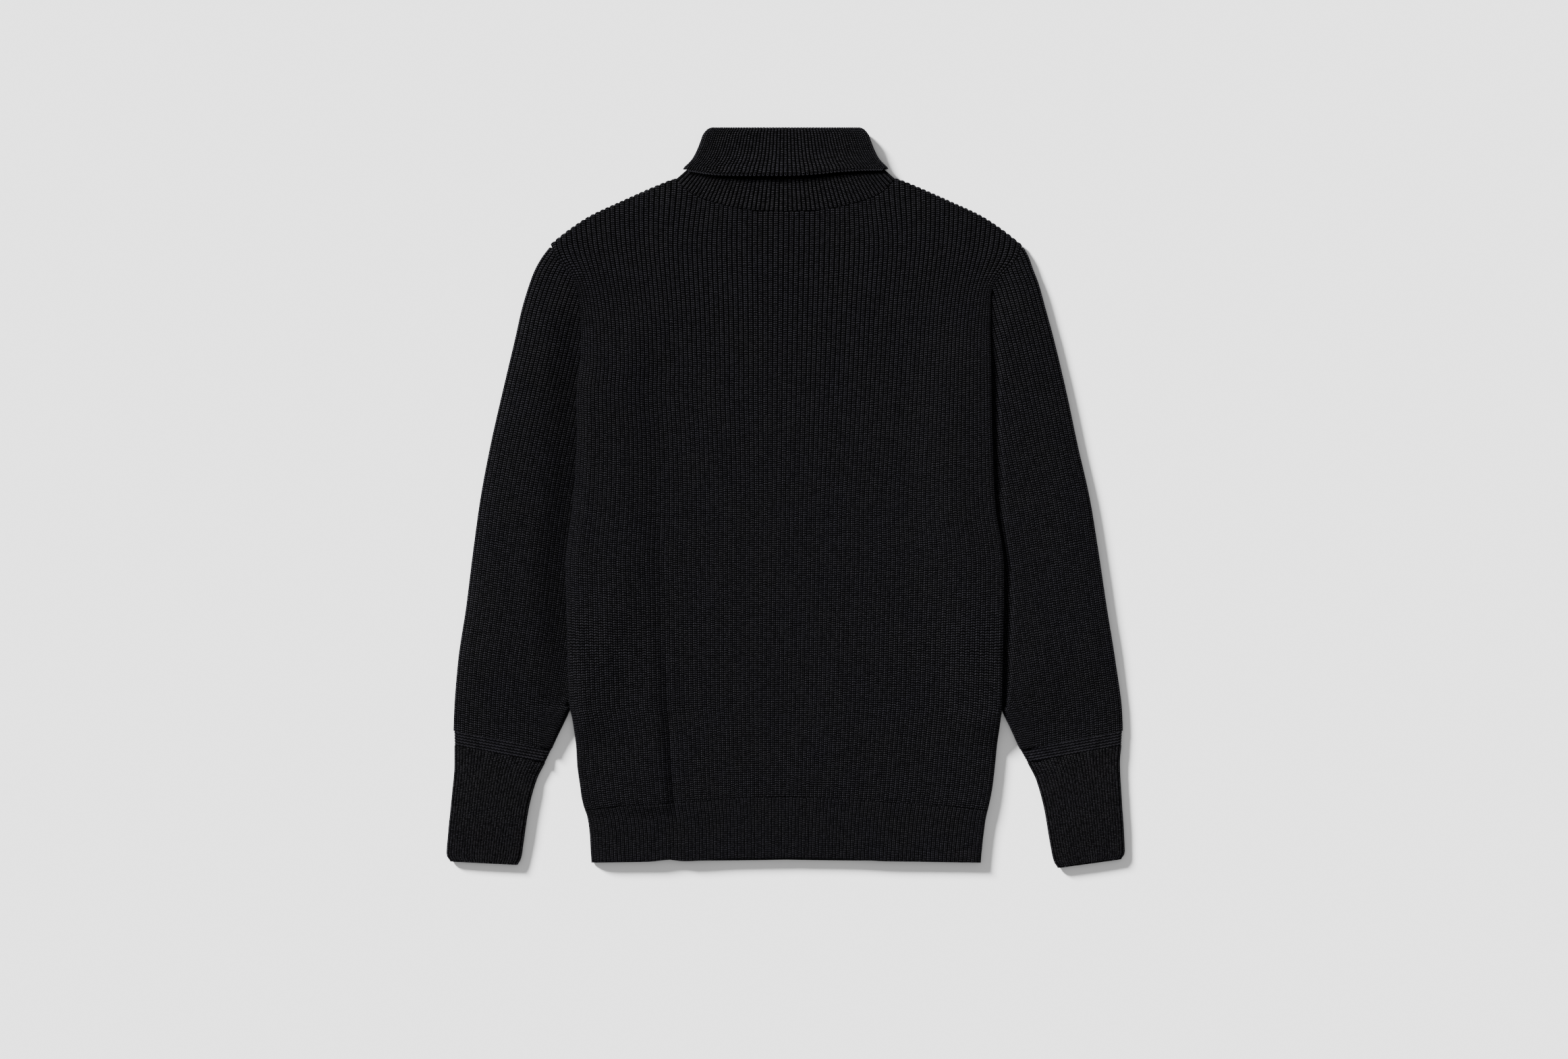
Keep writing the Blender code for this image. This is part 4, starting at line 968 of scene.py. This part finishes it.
# Turned-down part: the half width at each height comes from the table, settled together with the shaped edge
def turnedRing(part, radius, rib, lifted):
    half = collarHalf(collar["level"]) + 0 * collarAcross
    for _ in range(knit["turns"]):
        x = collarAcross * half
        low = frontOrBack(curveAt(*collar["edgeFront"], x), collar["edgeBack"])
        y = low + part * (collar["level"] - low)
        half = (half + collarHalf(y)) / 2
    return collarSection(half, y, collar["middle"], radius, rib, lifted)


def flatRing(y, radius, rib):
    return collarSection(collarHalf(y), y, collar["middle"], radius, rib)


# Over the fold: turn goes from 0 on the stand to half a turn on the turned-down part
def bendRing(turn, size, rib):
    middle = collar["standMiddle"] + (collar["middle"] - collar["standMiddle"]) * turn / np.pi
    raised = collar["bendRib"] * rib * (ribProfile(collarWale[:-1]) - 0.5) * np.maximum(facing, 0)
    y = foldY + (size + raised) * np.sin(turn)
    return collarSection(collarHalf(y), y, middle, foldMiddle - size * np.cos(turn), rib * (turn / np.pi))


rib, level = collar["ribHeight"], collar["level"]
edgeIn, edgeDown = collar["edgeSteps"]
rings = [standRing(0, halfStack - collar["seamDip"], rib * collar["seamRib"])]
rings += [standRing(part, halfStack, rib) for part in collar["standParts"]]
standRings = len(rings)
rings += [collarSection(standHalf, level, collar["standMiddle"], halfStack, 0)]
rings += [bendRing(turn, foldIn, 0) for turn in np.linspace(0, np.pi, collar["foldRings"][0])]
rings += [flatRing(level, collarInner, 0)]
rings += [turnedRing(part, collarInner, 0, 1 - part) for part in collar["innerParts"]]
rings += [turnedRing(0, collarInner + edgeIn, 0, 1), turnedRing(edgeDown, (collarInner + collarOuter) / 2, rib / 2, 1)]
rings += [turnedRing(part, collarOuter, rib, 1 - part) for part in collar["outerParts"]]
rings += [flatRing(height, collarOuter, rib) for height in np.linspace(level, foldY, collar["frontRings"])[:-1]]
rings += [bendRing(turn, foldOut, rib) for turn in np.linspace(np.pi, 0, collar["foldRings"][1])]
rings += [collarSection(standHalf, level, collar["standMiddle"], innerFace, 0)]
rings += [standRing(part, innerFace, 0) for part in collar["standInnerParts"]]
rings = np.array(rings)
wayPoints = np.concatenate((rings, rings[:1]))[:, len(collarWale) // 4]
way = np.concatenate(([0], np.cumsum(np.linalg.norm(np.diff(wayPoints, axis=0), axis=1))))
uv = stacked(collarWale, way[:, None] / collar["course"])

# Painted shadow: the stand's front is painted black just below the turned-down edge, and painted shade darkens both
# ends in the neck's seam
standX, standY = rings[:standRings, :, 0], rings[:standRings, :, 1]
shade = 1 - smoothStep(*collar["paintedShadowBelow"], curveAt(*collar["edgeFront"], standX) - standY)
collarPaintedShade = np.zeros(rings.shape[:2])
collarPaintedShade[:standRings] = knit["seamPaintedShade"] * shade * smoothStep(*collar["paintedShadowFrom"], standX) * (facing > 0.5)
collarPaintedShade[0] = np.maximum(collarPaintedShade[0], knit["neckPaintedShade"])
collarPaintedShade[-1] = knit["seamPaintedShade"]
shell = newShell()
index = addGrid(shell, rings, uv[:-1], closed=True, depth=collarPaintedShade)
shell["faces"].append(stacked(index[-1, :-1], index[-1, 1:], index[0, 1:], index[0, :-1]))
shell["uvs"].append(np.stack((uv[-2, :-1], uv[-2, 1:], uv[-1, 1:], uv[-1, :-1]), axis=-2).reshape(-1, 2))
makePiece("rollCollar", shell, wools["CollarRib"], "collar")

# A loop of yarn stands out of the collar's edge at each wale: a small ring of yarn, leaning to one side
loops = {"size": 1.25, "yarn": 0.5, "steps": 9, "around": 4, "lean": 0.3, "narrow": 0.85, "out": 0.9, "sunk": 0.1}


def loopShell(centres):
    shell = newShell()
    turn = 2 * np.pi * np.arange(loops["steps"])[:, None] / loops["steps"]
    tube = 2 * np.pi * np.arange(loops["around"])[None, :] / loops["around"]
    reach = loops["size"] + loops["yarn"] * np.cos(tube)
    x = reach * (loops["narrow"] * np.cos(turn) + loops["lean"] * np.sin(turn))
    ring = stacked(x, reach * np.sin(turn), loops["yarn"] * np.sin(tube))
    shell["points"].append((centres[:, None, None] + ring).reshape(-1, 3))
    index = np.arange(len(shell["points"][0])).reshape(len(centres), loops["steps"], loops["around"])
    shell["paintedShades"].append(0.0 * index.ravel())
    nextTurn, nextTube = np.roll(index, -1, axis=1), np.roll(index, -1, axis=2)
    shell["faces"].append(stacked(index, nextTurn, np.roll(nextTurn, -1, axis=2), nextTube).reshape(-1, 4))
    place = stacked(np.arange(len(centres)) + 0.25, 0.5)
    shell["uvs"].append(np.repeat(place, 4 * loops["steps"] * loops["around"], axis=0))
    return shell


waleMiddles = np.arange(collar["wales"]) * collar["perWale"] + collar["perWale"] // 2
edgePlaces = np.concatenate((waleMiddles, len(collarShare) // 2 + waleMiddles))
loopCentres = turnedRing(0, collarOuter - loops["sunk"], 0, 1)[edgePlaces] - (0, loops["out"], 0)
loopCentres[:, 2] = np.maximum(loopCentres[:, 2], loops["yarn"])
makePiece("collarEdgeLoops", loopShell(loopCentres), wools["Loop"], "collar", replaces=False)
print("collar laid")

# Floor, light and camera. A low lamp lays the soft shadow on the floor, and a higher, softer one lights the wool
studio = {
    "floor": "f2f2f2", "floorRoughness": 0.95, "floorSpecular": 0.1, "floorHalf": 6, "floorHeight": -0.0002,
    "lamps": (
        # name, the way it shines, height in degrees, softness in degrees, strength, on the floor or the wool
        ("shadowLamp", (0.74, -0.67), 17.0, 10.0, 28.5, "floor"),
        ("fillLamp", (0.75, -0.66), 80.0, 120.0, 0.7, "floor"),
        ("keyLamp", (0.62, -0.78), 36.0, 15.0, 5.3, "wool"),
    ),
    "skyStrength": 0.3,
    "aim": (-0.0018, -0.0339),
    "cameraHeight": 5.0, "viewWidth": 1.660, "sensor": 36, "farthest": 50,
}
floorMesh = bpy.data.meshes.new("floor")
corners = [(x * studio["floorHalf"], y * studio["floorHalf"], studio["floorHeight"])
           for x, y in ((-1, -1), (1, -1), (1, 1), (-1, 1))]
floorMesh.from_pydata(corners, [], [(0, 1, 2, 3)])
floor = addObject("floor", floorMesh)
paper = bpy.data.materials.new("seamlessPaper")
paper.use_nodes = True
for key, value in (("Base Color", hexColour(studio["floor"])), ("Roughness", studio["floorRoughness"]),
                   ("Specular IOR Level", studio["floorSpecular"])):
    paper.node_tree.nodes["Principled BSDF"].inputs[key].default_value = value
floorMesh.materials.append(paper)

lit = {"floor": bpy.data.collections.new("litFloor"), "wool": bpy.data.collections.new("litWool")}
lit["floor"].objects.link(floor)
for piece in pieces.values():
    lit["wool"].objects.link(piece)
for name, (toX, toY), height, softness, strength, receiver in studio["lamps"]:
    light = bpy.data.lights.new(name, "SUN")
    light.energy, light.angle = strength, np.radians(softness)
    lamp = addObject(name, light)
    lamp.rotation_euler = (0, np.radians(90 - height), np.arctan2(toY, toX) + np.pi)
    lamp.light_linking.receiver_collection = lit[receiver]
world = bpy.data.worlds.new("studio")
world.use_nodes = True
sky = world.node_tree.nodes["Background"].inputs
sky["Color"].default_value, sky["Strength"].default_value = (1.0, 1.0, 1.0, 1.0), studio["skyStrength"]
bpy.context.scene.world = world

cameraData = bpy.data.cameras.new("camera")
cameraData.sensor_width = studio["sensor"]
cameraData.lens = studio["sensor"] * studio["cameraHeight"] / studio["viewWidth"]
cameraData.clip_end = studio["farthest"]
camera = addObject("camera", cameraData)
camera.location = (*studio["aim"], studio["cameraHeight"])
bpy.context.scene.camera = camera
print("studio ready")
